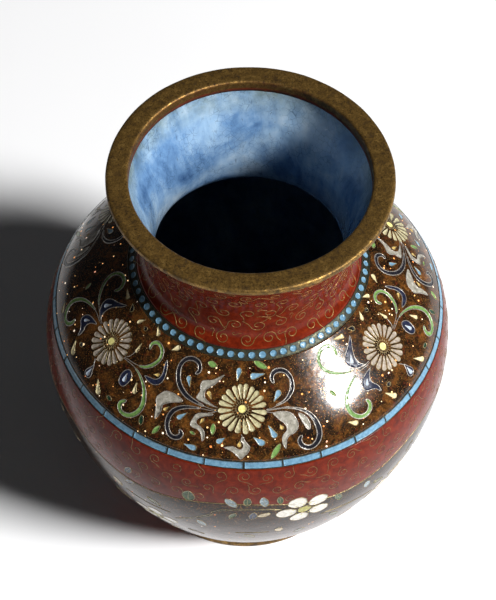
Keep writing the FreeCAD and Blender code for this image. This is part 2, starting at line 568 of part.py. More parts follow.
for deg, s, size, tilt in BLOSSOMS:
    for k in range(5):
        a = math.radians(72 * k + tilt + 18)
        x, y = 3.55 * size * math.cos(a), 3.75 * size * math.sin(a)
        inlay("blossom_petals", local(deg, s, leaf(x, y, 2.0 * size, 1.9 * size, math.degrees(a))))
    inlay("blossom_centres", local(deg, s, [(1.35 * size * math.cos(i * math.pi / 4), 1.35 * size * math.sin(i * math.pi / 4)) for i in range(8)]))
for deg, s, size, tilt in BUDS:
    inlay("blossom_buds", local(deg, s, leaf(0, 0, 1.3 * size, 0.75 * size, tilt)))
for deg, s, hl, hw, tilt, colour in LEAVES:
    inlay("frieze_leaves_" + colour, local(deg, s, leaf(0, 0, hl, hw, tilt)))
for stem in STEMS:
    ref, d0 = at(stem[0][1])[0], stem[0][0]
    flat = ribbon(rounded([(math.radians(d - d0) * ref, a, w) for d, a, w in stem]))
    inlay("blossom_stems", [(d0 + math.degrees(x / ref), y) for x, y in flat], True)
near = []
for k in range(15):
    near.append(prism(curl(START + 4 + 8 * k, 24.6 + 0.6 * (k % 2), 1.05, 90.0 * ((k * 5) % 4) + 30, 1 if k % 2 else -1, 0.9), 1.2))
third.append(("belly_scroll_wires", whole.common(Part.makeCompound(near))))
print("belly cells", len(third), round(time.time() - began), flush=True)
for deg in SPRAY_ANGLES:
    for name, shape in third:
        add(name, spun(shape, deg))
add("belly_enamel", ring(LINE_BOTTOM + LINE_WIRE, RED_EDGE))
add("frieze_enamel", ring(RED_EDGE, LOW_LINE_TOP - LINE_WIRE))
print("belly", round(time.time() - began), flush=True)

# ---- foot band ----
add("foot_enamel", ring(LOW_LINE_BOTTOM + LINE_WIRE, S_END))

for name in sorted(nodes):
    save(name)
print("done", round(time.time() - began), flush=True)
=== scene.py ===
import bpy
import bmesh
import math
import numpy as np
from mathutils import Vector, Matrix
from mathutils.geometry import delaunay_2d_cdt


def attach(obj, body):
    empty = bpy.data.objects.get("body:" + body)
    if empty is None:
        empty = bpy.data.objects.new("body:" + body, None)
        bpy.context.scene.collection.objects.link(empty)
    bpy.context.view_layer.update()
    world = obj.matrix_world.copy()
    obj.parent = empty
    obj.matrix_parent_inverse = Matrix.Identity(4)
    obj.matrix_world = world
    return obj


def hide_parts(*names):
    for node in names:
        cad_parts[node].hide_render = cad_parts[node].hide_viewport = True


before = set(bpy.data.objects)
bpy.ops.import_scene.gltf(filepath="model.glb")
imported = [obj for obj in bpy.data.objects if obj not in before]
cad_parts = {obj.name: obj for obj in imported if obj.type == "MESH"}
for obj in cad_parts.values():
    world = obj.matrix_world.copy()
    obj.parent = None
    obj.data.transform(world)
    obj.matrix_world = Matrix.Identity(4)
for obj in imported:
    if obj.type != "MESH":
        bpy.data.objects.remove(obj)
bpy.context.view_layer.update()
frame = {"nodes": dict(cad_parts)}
NODES = set(frame["nodes"]) if not isinstance(frame["nodes"], dict) else set(frame["nodes"].keys())

# ---------------------------------------------------------------- dimensions (mm)
HEIGHT, RIM_R, RIM_IN_R, RIM_T, LIP_DEPTH = 99.8, 26.0, 21.9, 1.4, 2.4
NECK_TOP_R = 24.0
BEAD_R, BEAD_Z = 22.39, 74.48
BELLY_R, BELLY_Z = 40.64, 50.21
FOOT_TOP_R, FOOT_TOP_Z = 23.92, 2.62
FOOT_R, FOOT_IN_R = 24.7, 22.6
BEADS, BEAD_RADIUS = 72, 0.80
LINE_TOP, LINE_BOTTOM, LINE_SEGMENTS, LINE_PHASE = 19.95, 21.35, 33, -0.2
LOW_LINE_TOP, LOW_LINE_BOTTOM, LOW_SEGMENTS = 69.4, 70.7, 30
RED_EDGE = 32.9

# ---- ornament of the shoulder, drawn flat ----
# Every outline is in drawing units about its own flower: U_DEG units to a degree
# round the vase, U_MM units to a millimetre down the wall.
U_DEG, U_MM = 12.54, 22.46
# flowers: (angle from the front, kind), and the arc of each kind's centre
FLOWERS = [(-57.1, "lilac"), (-1.2, "cream"), (57.4, "lilac"),
           (114.5, "cream"), (176.5, "lilac"), (239.5, "cream")]
FLOWER_ARC = {"lilac": 9.57, "cream": 9.88}
# half designs: the right-hand or left-hand side of a flower
CREAM_LEFT = [
    ("scroll", "dark", [(-172, 9, 7), (-205, 2, 12), (-245, -9, 17), (-277, -26, 19), (-305, -50, 20),
                        (-325, -82, 20), (-333, -114, 20), (-325, -142, 19), (-305, -158, 18), (-277, -164, 17),
                        (-249, -158, 17), (-233, -142, 18), (-230, -124, 16), (-240, -113, 11)]),
    ("scroll", "dark", [(-186, 24, 5), (-210, 27, 8), (-237, 34, 12), (-265, 48, 15), (-285, 70, 17), (-293, 98, 17),
                        (-291, 126, 16), (-281, 152, 16), (-265, 169, 17), (-245, 171, 18), (-231, 160, 18),
                        (-227, 146, 15), (-234, 136, 10)]),
    ("poly", "white", [(-99, -132), (-119, -108), (-139, -86), (-157, -72), (-171, -60), (-176, -44), (-170, -25),
                       (-155, -14), (-137, -6), (-122, 3), (-146, 0), (-175, -6), (-204, -14), (-202, -32),
                       (-197, -50), (-203, -70), (-199, -89), (-175, -97), (-149, -104), (-123, -119)]),
    ("drop", "gold", (-157, -47, 8.5, -141, -24)),
    ("poly", "white", [(-124, 34), (-157, 38), (-185, 47), (-197, 70), (-203, 94), (-193, 106), (-173, 109),
                       (-158, 119), (-150, 137), (-146, 152), (-142, 152), (-139, 138), (-145, 112), (-160, 97), (-178, 89),
                       (-181, 73), (-169, 58), (-147, 47), (-124, 40)]),
    ("drop", "gold", (-158, 67, 6.5, -166, 85)),
    ("poly", "white", [(-262, 12), (-289, 3), (-317, 0), (-345, 5), (-360, 22), (-371, 46), (-362, 68), (-353, 92),
                       (-347, 116), (-341, 130), (-334, 110), (-331, 84), (-334, 66), (-322, 50), (-303, 38),
                       (-283, 29), (-264, 21)]),
    ("drop", "gold", (-318, 76, 6.5, -306, 58)),
    ("drop", "turquoise", (-268, -82, 11, -250, -48)),
    ("drop", "turquoise", (-252, 84, 10, -226, 55)),
    ("drop", "turquoise", (-173, 192, 13, -209, 186)),
    ("drop", "turquoise", (-82, 143, 11, -60, 124)),
    ("leaf", "green", (-171, -166, 26, 13, 8)),
    ("leaf", "green", (-111, 96, 24, 10, 88)),
    ("leaf", "green", (-323, 172, 25, 9, 112)),
    ("leaf", "green", (-186, 130, 12, 6, 20)),
]
CREAM_RIGHT = [
    ("scroll", "dark", [(152, -9, 5), (188, -21, 9), (213, -40, 14), (232, -64, 18), (239, -93, 18), (235, -118, 18),
                        (219, -139, 17), (194, -149, 17), (169, -148, 18), (151, -138, 18), (143, -121, 17),
                        (148, -106, 11)]),
    ("scroll", "dark", [(188, 8, 4), (225, 17, 6), (253, 31, 9), (275, 50, 13), (291, 77, 16), (299, 110, 19),
                        (299, 142, 19), (288, 172, 19), (266, 192, 19), (242, 192, 18), (224, 176, 17),
                        (219, 153, 15), (227, 139, 10)]),
    ("drop", "turquoise", (166, -57, 13, 140, -24)),
    ("drop", "turquoise", (49, -135, 14, 112, -143)),
    ("drop", "turquoise", (-24, -155, 14, -31, -114)),
    ("leaf", "green", (92, -180, 40, 13, 24)),
    ("drop", "turquoise", (127, 114, 12, 106, 70)),
    ("drop", "turquoise", (77, 142, 13, 46, 117)),
    ("leaf", "green", (127, 184, 36, 11, 120)),
    ("poly", "white", [(132, 22), (160, 19), (188, 24), (208, 36), (219, 55), (225, 79), (221, 101), (205, 117),
                       (184, 125), (172, 140), (168, 160), (164, 176), (157, 160), (155, 138), (161, 118),
                       (176, 103), (179, 85), (170, 69), (155, 54), (142, 38)]),
    ("drop", "gold", (160, 88, 7, 152, 72)),
    ("poly", "white", [(236, 41), (252, 51), (266, 71), (272, 97), (267, 117), (257, 113), (248, 92), (240, 66)]),
]
CREAM_MID = [
    ("poly", "white", [(5, 114), (13, 130), (24, 145), (33, 160), (28, 180), (15, 196), (2, 212), (-13, 198),
                       (-29, 182), (-46, 172), (-62, 167), (-43, 160), (-25, 160), (-13, 168), (0, 170), (9, 158), (7, 143), (-1, 130)]),
    ("drop", "gold", (-6, 152, 7.5, -5, 133)),
]
LILAC_RIGHT = [
    ("scroll", "green", [(191, -17, 7), (217, -29, 12), (243, -55, 16), (257, -88, 16), (251, -117, 16),
                         (232, -134, 15), (207, -141, 15), (185, -135, 16), (175, -119, 15), (181, -104, 10)]),
    ("scroll", "green", [(182, 3, 5), (207, 10, 7), (236, 26, 10), (263, 49, 14), (282, 81, 17), (291, 113, 18),
                         (287, 144, 18), (271, 173, 18), (247, 190, 18), (223, 190, 17), (208, 175, 17),
                         (208, 154, 15), (219, 140, 11)]),
    ("facet", "navy", [(294, -104), (310, -80), (320, -54), (324, -26), (314, 0), (290, 14), (256, 12), (236, 2),
                      (258, -3), (284, -8), (300, -20), (305, -38), (302, -60), (294, -82)]),
    ("drop", "gold", (290, -31, 7, 268, -22)),
    ("drop", "cream", (315, -171, 12, 287, -148)),
    ("drop", "cream", (233, 84, 9, 221, 45)),
    ("poly", "navy", [(145, 40), (160, 24), (178, 30), (190, 48), (189, 72), (180, 95), (162, 99), (148, 86), (142, 62)]),
    ("drop", "cream", (132, -56, 8, 127, -96)),
    ("drop", "cream", (172, -172, 10, 138, -196)),
    ("drop", "black", (92, -150, 9, 74, -152)),
    ("drop", "cream", (101, 196, 11, 70, 152)),
    ("leaf", "deep", (155, 178, 13, 9, 10)),
    ("leaf", "deep", (311, 172, 22, 9, 78)),
]
LILAC_LEFT = [
    ("scroll", "green", [(-208, -20, 6), (-240, -30, 9), (-280, -50, 13), (-313, -76, 16), (-330, -107, 17),
                         (-323, -138, 17), (-297, -160, 17), (-262, -167, 17), (-233, -156, 18), (-219, -134, 17),
                         (-225, -113, 11)]),
    ("scroll", "green", [(-196, 6, 5), (-218, 14, 8), (-247, 29, 11), (-275, 53, 14), (-292, 84, 17),
                         (-296, 115, 18), (-285, 145, 18), (-262, 167, 17), (-237, 171, 17), (-216, 160, 17),
                         (-206, 138, 15), (-210, 121, 10)]),
    ("poly", "navy", [(-100, -140), (-128, -122), (-160, -104), (-188, -88), (-205, -64), (-198, -38), (-176, -18),
                      (-146, -6), (-126, -2), (-142, -17), (-150, -36), (-150, -58), (-142, -80), (-128, -100),
                      (-112, -118)]),
    ("poly", "navy", [(-122, 22), (-156, 28), (-186, 42), (-198, 66), (-190, 88), (-168, 96), (-150, 108),
                      (-138, 128), (-134, 112), (-138, 94), (-148, 78), (-150, 58), (-140, 40)]),
    ("drop", "cream", (-140, -160, 10, -196, -172)),
    ("drop", "black", (-58, -152, 11, -84, -168)),
    ("drop", "cream", (-98, 190, 11, -128, 148)),
    ("leaf", "black", (-93, 131, 11, 9, 0)),
    ("leaf", "green", (-330, 20, 18, 8, 60)),
    ("drop", "cream", (-290, 180, 10, -318, 160)),
]
LILAC_MID = [
    ("drop", "cream", (30, -148, 10, 52, -176)),
    ("drop", "navy", (20, 176, 17, 18, 128)),
]
# pale cores set in the middle of the navy leaves: drops listed under the design (left, middle or right) whose leaves
# they sit in, laid over those leaves
CORES = {"LILAC_RIGHT": [("drop", "pale", (167, 72, 8, 162, 42))],
         "LILAC_LEFT": [("drop", "pale", (-176, -50, 9, -160, -78)), ("drop", "pale", (-174, 66, 7, -160, 46))],
         "LILAC_MID": [("drop", "pale", (20, 178, 8, 19, 146))]}
DESIGN = {"cream": [CREAM_LEFT, CREAM_MID, CREAM_RIGHT], "lilac": [LILAC_LEFT, LILAC_MID, LILAC_RIGHT]}

# ---- ornament of the frieze: one spray, repeated every 120 degrees ----
# blossoms: (angle, arc, size); petals sit 72 degrees apart round each centre
BLOSSOMS = [(16.8, 36.9, 1.0, 12.0), (-27.5, 51.0, 0.86, 40.0), (48.0, 50.5, 0.92, 5.0)]
BUDS = [(5.6, 36.9, 1.05, -28), (-38.5, 41.0, 1.2, 60), (61.0, 42.5, 1.2, -50), (10.5, 47.5, 1.1, 80)]
# leaves: (angle, arc, half length, half width, tilt from the parallel, colour)
LEAVES = [(-3.4, 31.7, 1.85, 0.92, 58, "grey"), (5.5, 31.3, 1.85, 0.85, 80, "grey"),
          (1.0, 31.1, 1.5, 0.75, 92, "green"), (9.8, 31.2, 1.4, 0.6, 84, "green"),
          (2.6, 37.2, 1.7, 0.8, 96, "navy"), (-3.0, 37.3, 1.5, 0.6, 110, "green"),
          (-15.0, 31.6, 1.9, 1.25, 92, "green"), (26.9, 36.6, 2.0, 0.7, 70, "green"),
          (-33.3, 31.6, 1.5, 0.7, 115, "navy"), (-26.0, 40.5, 1.8, 0.8, 40, "green"),
          (-33.5, 36.6, 1.7, 0.7, 130, "navy"), (-12.0, 44.2, 1.9, 0.8, 70, "grey"),
          (-24.0, 60.5, 1.9, 0.8, 95, "green"), (-40.5, 51.0, 1.9, 0.8, 10, "green"),
          (-15.0, 54.5, 1.8, 0.8, 25, "navy"), (27.5, 47.0, 1.9, 0.8, 60, "green"),
          (36.5, 38.0, 1.8, 0.8, 80, "grey"), (41.5, 41.0, 1.7, 0.7, 30, "green"),
          (54.0, 38.0, 1.8, 0.8, 110, "navy"), (62.0, 51.0, 1.9, 0.8, 15, "green"),
          (46.0, 61.0, 1.9, 0.8, 85, "grey"), (35.0, 56.5, 1.8, 0.75, 140, "green"),
          (2.0, 52.0, 1.8, 0.8, 60, "green"), (17.5, 52.5, 1.8, 0.8, 120, "grey")]
# stems: centre lines (angle, arc, width)
STEMS = [[(-8.5, 36.6, 0.55), (-5.5, 34.9, 0.5), (0.0, 34.2, 0.42), (6.5, 34.4, 0.36), (10.2, 35.2, 0.25)],
         [(-8.9, 37.8, 0.55), (-12.5, 40.6, 0.52), (-17.0, 43.9, 0.48), (-20.0, 46.2, 0.36)],
         [(22.8, 43.0, 0.5), (28.5, 43.6, 0.48), (34.5, 44.6, 0.44), (41.0, 46.2, 0.34)],
         [(-21.5, 43.2, 0.34), (-29.0, 43.3, 0.32), (-35.8, 42.2, 0.22)],
         [(46.5, 43.4, 0.3), (52.5, 43.2, 0.28), (58.2, 43.2, 0.2)],
         [(-2.0, 48.6, 0.4), (3.0, 48.4, 0.36), (7.4, 48.6, 0.24)]]
SPRAY_ANGLES = (0.0, 120.0, 240.0)

# ---------------------------------------------------------------- the wall as a surface
def bez(p, n):
    t = np.linspace(0, 1, n)[:, None]
    p = np.array(p, float)
    return (1 - t) ** 3 * p[0] + 3 * (1 - t) ** 2 * t * p[1] + 3 * (1 - t) * t * t * p[2] + t ** 3 * p[3]


cs, sn = math.cos(0.596), math.sin(0.596)
prof = np.concatenate([
    bez([(NECK_TOP_R, HEIGHT - RIM_T), (NECK_TOP_R, 95.6), (18.75, 88.0), (19.8, 78.0)], 300),
    bez([(19.8, 78.0), (19.97, 76.4), (BEAD_R - 1.3 * cs, BEAD_Z + 1.3 * sn), (BEAD_R, BEAD_Z)], 100)[1:],
    bez([(BEAD_R, BEAD_Z), (BEAD_R + 14.54 * cs, BEAD_Z - 14.54 * sn), (BELLY_R, BELLY_Z + 14.3), (BELLY_R, BELLY_Z)], 400)[1:],
    bez([(BELLY_R, BELLY_Z), (BELLY_R, BELLY_Z - 17.29), (FOOT_TOP_R + 12.95 * math.cos(0.989), FOOT_TOP_Z + 12.95 * math.sin(0.989)), (FOOT_TOP_R, FOOT_TOP_Z)], 700)[1:]])
arc = np.concatenate([[0], np.cumsum(np.linalg.norm(np.diff(prof, axis=0), axis=1))])
arc -= arc[300 + 99 - 1]
S_TOP, S_END = arc[0], arc[-1]
tan = np.gradient(prof, axis=0)
tan /= np.linalg.norm(tan, axis=1)[:, None]
nrm = np.stack([-tan[:, 1], tan[:, 0]], 1)


def wall(deg, s, h=0.0):
    """points in metres at angle, arc and height above the outside wall"""
    deg, s = np.broadcast_arrays(np.asarray(deg, float), np.asarray(s, float))
    a = np.radians(deg)
    r = np.interp(s, arc, prof[:, 0])
    z = np.interp(s, arc, prof[:, 1])
    nr = np.interp(s, arc, nrm[:, 0])
    nz = np.interp(s, arc, nrm[:, 1])
    k = np.hypot(nr, nz)
    r = r + h * nr / k
    z = z + h * nz / k
    return np.stack([r * np.sin(a), -r * np.cos(a), z], -1) / 1000.0


def radius_at(s):
    return float(np.interp(s, arc, prof[:, 0]))


# ---------------------------------------------------------------- mesh helpers
def new_object(name, verts, faces, material, smooth=True):
    me = bpy.data.meshes.new(name)
    me.from_pydata([tuple(v) for v in verts], [], [tuple(f) for f in faces])
    me.validate()
    me.update()
    if smooth:
        me.polygons.foreach_set("use_smooth", [True] * len(me.polygons))
    ob = bpy.data.objects.new(name, me)
    bpy.context.scene.collection.objects.link(ob)
    if material:
        me.materials.append(material)
    return ob


def recalc(ob):
    bm = bmesh.new()
    bm.from_mesh(ob.data)
    bmesh.ops.remove_doubles(bm, verts=bm.verts, dist=1e-7)
    bmesh.ops.recalc_face_normals(bm, faces=bm.faces)
    bm.to_mesh(ob.data)
    bm.free()
    return ob


def lathe(name, loop, material, seg=384, closed=True, wobble=None):
    """revolve a closed (r, z) loop in mm"""
    loop = np.array(loop, float)
    n = len(loop)
    a = np.linspace(0, 2 * math.pi, seg, endpoint=False)
    R = np.repeat(loop[:, 0][None], seg, 0)
    Z = np.repeat(loop[:, 1][None], seg, 0)
    if wobble is not None:
        R, Z = wobble(R, Z, np.repeat(a[:, None], n, 1))
    V = np.stack([R * np.cos(a)[:, None], R * np.sin(a)[:, None], Z], -1).reshape(-1, 3) / 1000.0
    faces = []
    m = n if closed else n - 1
    for i in range(seg):
        j = (i + 1) % seg
        for k in range(m):
            l = (k + 1) % n
            faces.append((i * n + k, j * n + k, j * n + l, i * n + l))
    ob = new_object(name, V, faces, material)
    return recalc(ob)


def band_loop(sa, sb, depth=0.5, step=0.45, lift=0.0):
    n = max(int((sb - sa) / step), 2)
    s = np.linspace(sa, sb, n + 1)
    r = np.interp(s, arc, prof[:, 0]); z = np.interp(s, arc, prof[:, 1])
    nr = np.interp(s, arc, nrm[:, 0]); nz = np.interp(s, arc, nrm[:, 1])
    k = np.hypot(nr, nz); nr, nz = nr / k, nz / k
    outer = np.stack([r + lift * nr, z + lift * nz], 1)
    inner = np.stack([r - depth * nr, z - depth * nz], 1)[::-1]
    return np.concatenate([outer, inner[::max(1, n // 12)] if n > 24 else inner])


def smooth_loop(pts, n=5):
    P = np.array(pts, float)
    m = len(P)
    out = []
    for i in range(m):
        p0, p1, p2, p3 = P[i - 1], P[i], P[(i + 1) % m], P[(i + 2) % m]
        for k in range(n):
            t = k / n
            out.append(0.5 * ((2 * p1) + (-p0 + p2) * t + (2 * p0 - 5 * p1 + 4 * p2 - p3) * t * t + (-p0 + 3 * p1 - 3 * p2 + p3) * t ** 3))
    return np.array(out)


def smooth_line(pts, n=5):
    P = np.array(pts, float)
    P = np.concatenate([[2 * P[0] - P[1]], P, [2 * P[-1] - P[-2]]])
    out = []
    for i in range(1, len(P) - 2):
        p0, p1, p2, p3 = P[i - 1], P[i], P[i + 1], P[i + 2]
        for k in range(n):
            t = k / n
            out.append(0.5 * ((2 * p1) + (-p0 + p2) * t + (2 * p0 - 5 * p1 + 4 * p2 - p3) * t * t + (-p0 + 3 * p1 - 3 * p2 + p3) * t ** 3))
    out.append(P[-2])
    return np.array(out)


def drop(hx, hy, r, tx, ty):
    dx, dy = tx - hx, ty - hy
    length = math.hypot(dx, dy)
    ux, uy = dx / length, dy / length
    side = [(-1.0 * r, 0), (-0.70 * r, 0.72 * r), (0, r), (0.75 * r if length > 1.5 * r else 0.5 * r, 0.86 * r), (length * 0.62, 0.42 * r), (length, 0.0)]
    up = [(hx + a * ux - b * uy, hy + a * uy + b * ux) for a, b in side]
    return up + [(hx + a * ux + b * uy, hy + a * uy - b * ux) for a, b in side[1:-1]][::-1]


def leaf(cx, cy, hl, hw, ang):
    ux, uy = math.cos(math.radians(ang)), math.sin(math.radians(ang))
    side = [(-1, 0), (-.62, .72), (0, 1), (.62, .68), (1, 0)]
    up = [(cx + p * hl * ux - q * hw * uy, cy + p * hl * uy + q * hw * ux) for p, q in side]
    return up + [(cx + p * hl * ux + q * hw * uy, cy + p * hl * uy - q * hw * ux) for p, q in side[1:-1]][::-1]


def ribbon(pts):
    left, right = [], []
    n = len(pts)
    for i, (x, y, w) in enumerate(pts):
        x0, y0 = pts[max(i - 1, 0)][:2]
        x1, y1 = pts[min(i + 1, n - 1)][:2]
        tx, ty = x1 - x0, y1 - y0
        k = math.hypot(tx, ty)
        tx, ty = tx / k, ty / k
        left.append((x - ty * w / 2, y + tx * w / 2))
        right.append((x + ty * w / 2, y - tx * w / 2))
        if i == 0:
            tip0 = (x - tx * w / 2, y - ty * w / 2)
        if i == n - 1:
            tip1 = (x + tx * w / 2, y + ty * w / 2)
    return [tip0] + left + [tip1] + right[::-1]


SHAPES = {"poly": lambda d: list(d), "facet": lambda d: list(d), "drop": lambda d: drop(*d), "leaf": lambda d: leaf(*d), "scroll": ribbon}


def petal_outlines(r0=41, r1=104, n=20, jitter=0.0, rng=None):
    out = []
    for k in range(n):
        a = 2 * math.pi * (k + 0.5) / n + (rng.uniform(-jitter, jitter) if rng is not None else 0.0)
        rr = r1 * (1 + (rng.uniform(-0.02, 0.02) if rng is not None else 0))
        ux, uy = math.cos(a), math.sin(a)
        length = rr - r0
        side = [(0, 0), (0.18 * length, 4.2), (0.52 * length, 7.8), (0.80 * length, 10.6), (0.95 * length, 7.6), (length, 0)]
        up = [((r0 + p) * ux - q * uy, (r0 + p) * uy + q * ux) for p, q in side]
        out.append(up + [((r0 + p) * ux + q * uy, (r0 + p) * uy - q * ux) for p, q in side[1:-1]][::-1])
    return out


def inside(poly, x, y):
    n = len(poly)
    c = np.zeros(len(x), bool)
    x0, y0 = poly[:, 0], poly[:, 1]
    x1, y1 = np.roll(x0, -1), np.roll(y0, -1)
    for i in range(n):
        hit = ((y0[i] > y) != (y1[i] > y))
        with np.errstate(divide="ignore", invalid="ignore"):
            xi = (x1[i] - x0[i]) * (y - y0[i]) / (y1[i] - y0[i] + 1e-30) + x0[i]
        c ^= hit & (x < xi)
    return c


class Bag:
    """collects patches into one mesh"""
    def __init__(self):
        self.v, self.f, self.n = [], [], 0

    def add(self, v, f):
        self.v.append(np.asarray(v, float))
        self.f += [tuple(i + self.n for i in q) for q in f]
        self.n += len(v)

    def make(self, name, material):
        if not self.v:
            return None
        return new_object(name, np.concatenate(self.v), self.f, material)


def patch(bag, outline, lift=0.02, dome=0.0, depth=0.08, cell=0.42, fine=4, smoothed=True):
    """a filled cell lying on the wall. outline: (degrees, arc)"""
    o = np.array(outline, float)
    dc, sc = o.mean(0)
    ref = radius_at(sc)
    k = math.radians(1) * ref
    p = np.stack([(o[:, 0] - dc) * k, o[:, 1]], 1)
    if smoothed:
        p = smooth_loop(p, fine)
    lo, hi = p.min(0), p.max(0)
    gx, gy = np.meshgrid(np.arange(lo[0], hi[0], cell), np.arange(lo[1], hi[1], cell * 0.87))
    gx = gx + (np.arange(gx.shape[0]) % 2)[:, None] * cell / 2
    gx, gy = gx.ravel(), gy.ravel()
    keep = inside(p, gx, gy)
    gx, gy = gx[keep], gy[keep]
    q = np.concatenate([p, np.roll(p, -1, 0) * 0.5 + p * 0.5])
    if len(gx):
        d = np.min(np.hypot(gx[:, None] - q[None, :, 0], gy[:, None] - q[None, :, 1]), 1)
        keep = d > cell * 0.38
        gx, gy, d = gx[keep], gy[keep], d[keep]
    else:
        d = gx
    pts = [Vector(a) for a in p] + [Vector((a, b)) for a, b in zip(gx, gy)]
    n = len(p)
    out = delaunay_2d_cdt(pts, [(i, (i + 1) % n) for i in range(n)], [], 1, 1e-6)
    vv = np.array([tuple(v) for v in out[0]])
    if dome:
        dd = np.min(np.hypot(vv[:, 0][:, None] - q[None, :, 0], vv[:, 1][:, None] - q[None, :, 1]), 1)
        hmax = max(float(dd.max()), 1e-3)
        h = lift + dome * (1 - (1 - np.clip(dd / hmax, 0, 1)) ** 2)
    else:
        h = lift
    top = wall(dc + vv[:, 0] / k, vv[:, 1], h)
    # rim goes down into the ground
    base = len(top)
    low = wall(dc + p[:, 0] / k, p[:, 1], -depth)
    orig = {}
    for i, src in enumerate(out[3]):
        for j in src:
            if j < n:
                orig[j] = i
    faces = []
    for f in out[2]:
        a, b, c = (vv[f[0]], vv[f[1]], vv[f[2]])
        area = (b[0] - a[0]) * (c[1] - a[1]) - (b[1] - a[1]) * (c[0] - a[0])
        faces.append(tuple(f) if area < 0 else tuple(f[::-1]))
    sgn = float(np.sum(p[:, 0] * np.roll(p[:, 1], -1) - np.roll(p[:, 0], -1) * p[:, 1]))
    for i in range(n):
        j = (i + 1) % n
        if i in orig and j in orig:
            quad = (orig[i], orig[j], base + j, base + i)
            faces.append(quad if sgn < 0 else quad[::-1])
    bag.add(np.concatenate([top, low]), faces)
    return p


def wire(bag, line, width=0.15, lift=0.05, depth=0.06, closed=True, fine=4, smoothed=True, taper=None):
    """a ribbon of round-topped wire along (degrees, arc) points"""
    o = np.array(line, float)
    dc, sc = o.mean(0)[:2]
    ref = radius_at(sc)
    k = math.radians(1) * ref
    p = np.stack([(o[:, 0] - dc) * k, o[:, 1]], 1)
    if smoothed:
        p = smooth_loop(p, fine) if closed else smooth_line(p, fine)
    n = len(p)
    if closed:
        t = np.roll(p, -1, 0) - np.roll(p, 1, 0)
    else:
        t = np.gradient(p, axis=0)
    t /= np.maximum(np.linalg.norm(t, axis=1), 1e-9)[:, None]
    m = np.stack([-t[:, 1], t[:, 0]], 1)
    w = np.full(n, width / 2)
    if taper is not None and not closed:
        u = np.linspace(0, 1, n)
        w = w * np.interp(u, [0, 0.12, 0.88, 1], [taper, 1, 1, taper])
    rows = []
    for off, h in ((-1.0, -depth), (-1.0, lift * 0.35), (-0.55, lift * 0.9), (0.0, lift), (0.55, lift * 0.9), (1.0, lift * 0.35), (1.0, -depth)):
        q = p + m * (off * w)[:, None]
        rows.append(wall(dc + q[:, 0] / k, q[:, 1], h))
    c = len(rows)
    v = np.stack(rows, 1).reshape(-1, 3)
    faces = []
    for i in range(n if closed else n - 1):
        j = (i + 1) % n
        for r in range(c - 1):
            faces.append((i * c + r, i * c + r + 1, j * c + r + 1, j * c + r))
    if not closed:
        faces.append(tuple(range(c)))
        faces.append(tuple((n - 1) * c + r for r in range(c))[::-1])
    bag.add(v, faces)


# ---------------------------------------------------------------- materials
def srgb(r, g, b):
    def f(x):
        x /= 255.0
        return x / 12.92 if x <= 0.04045 else ((x + 0.055) / 1.055) ** 2.4
    return (f(r), f(g), f(b), 1.0)


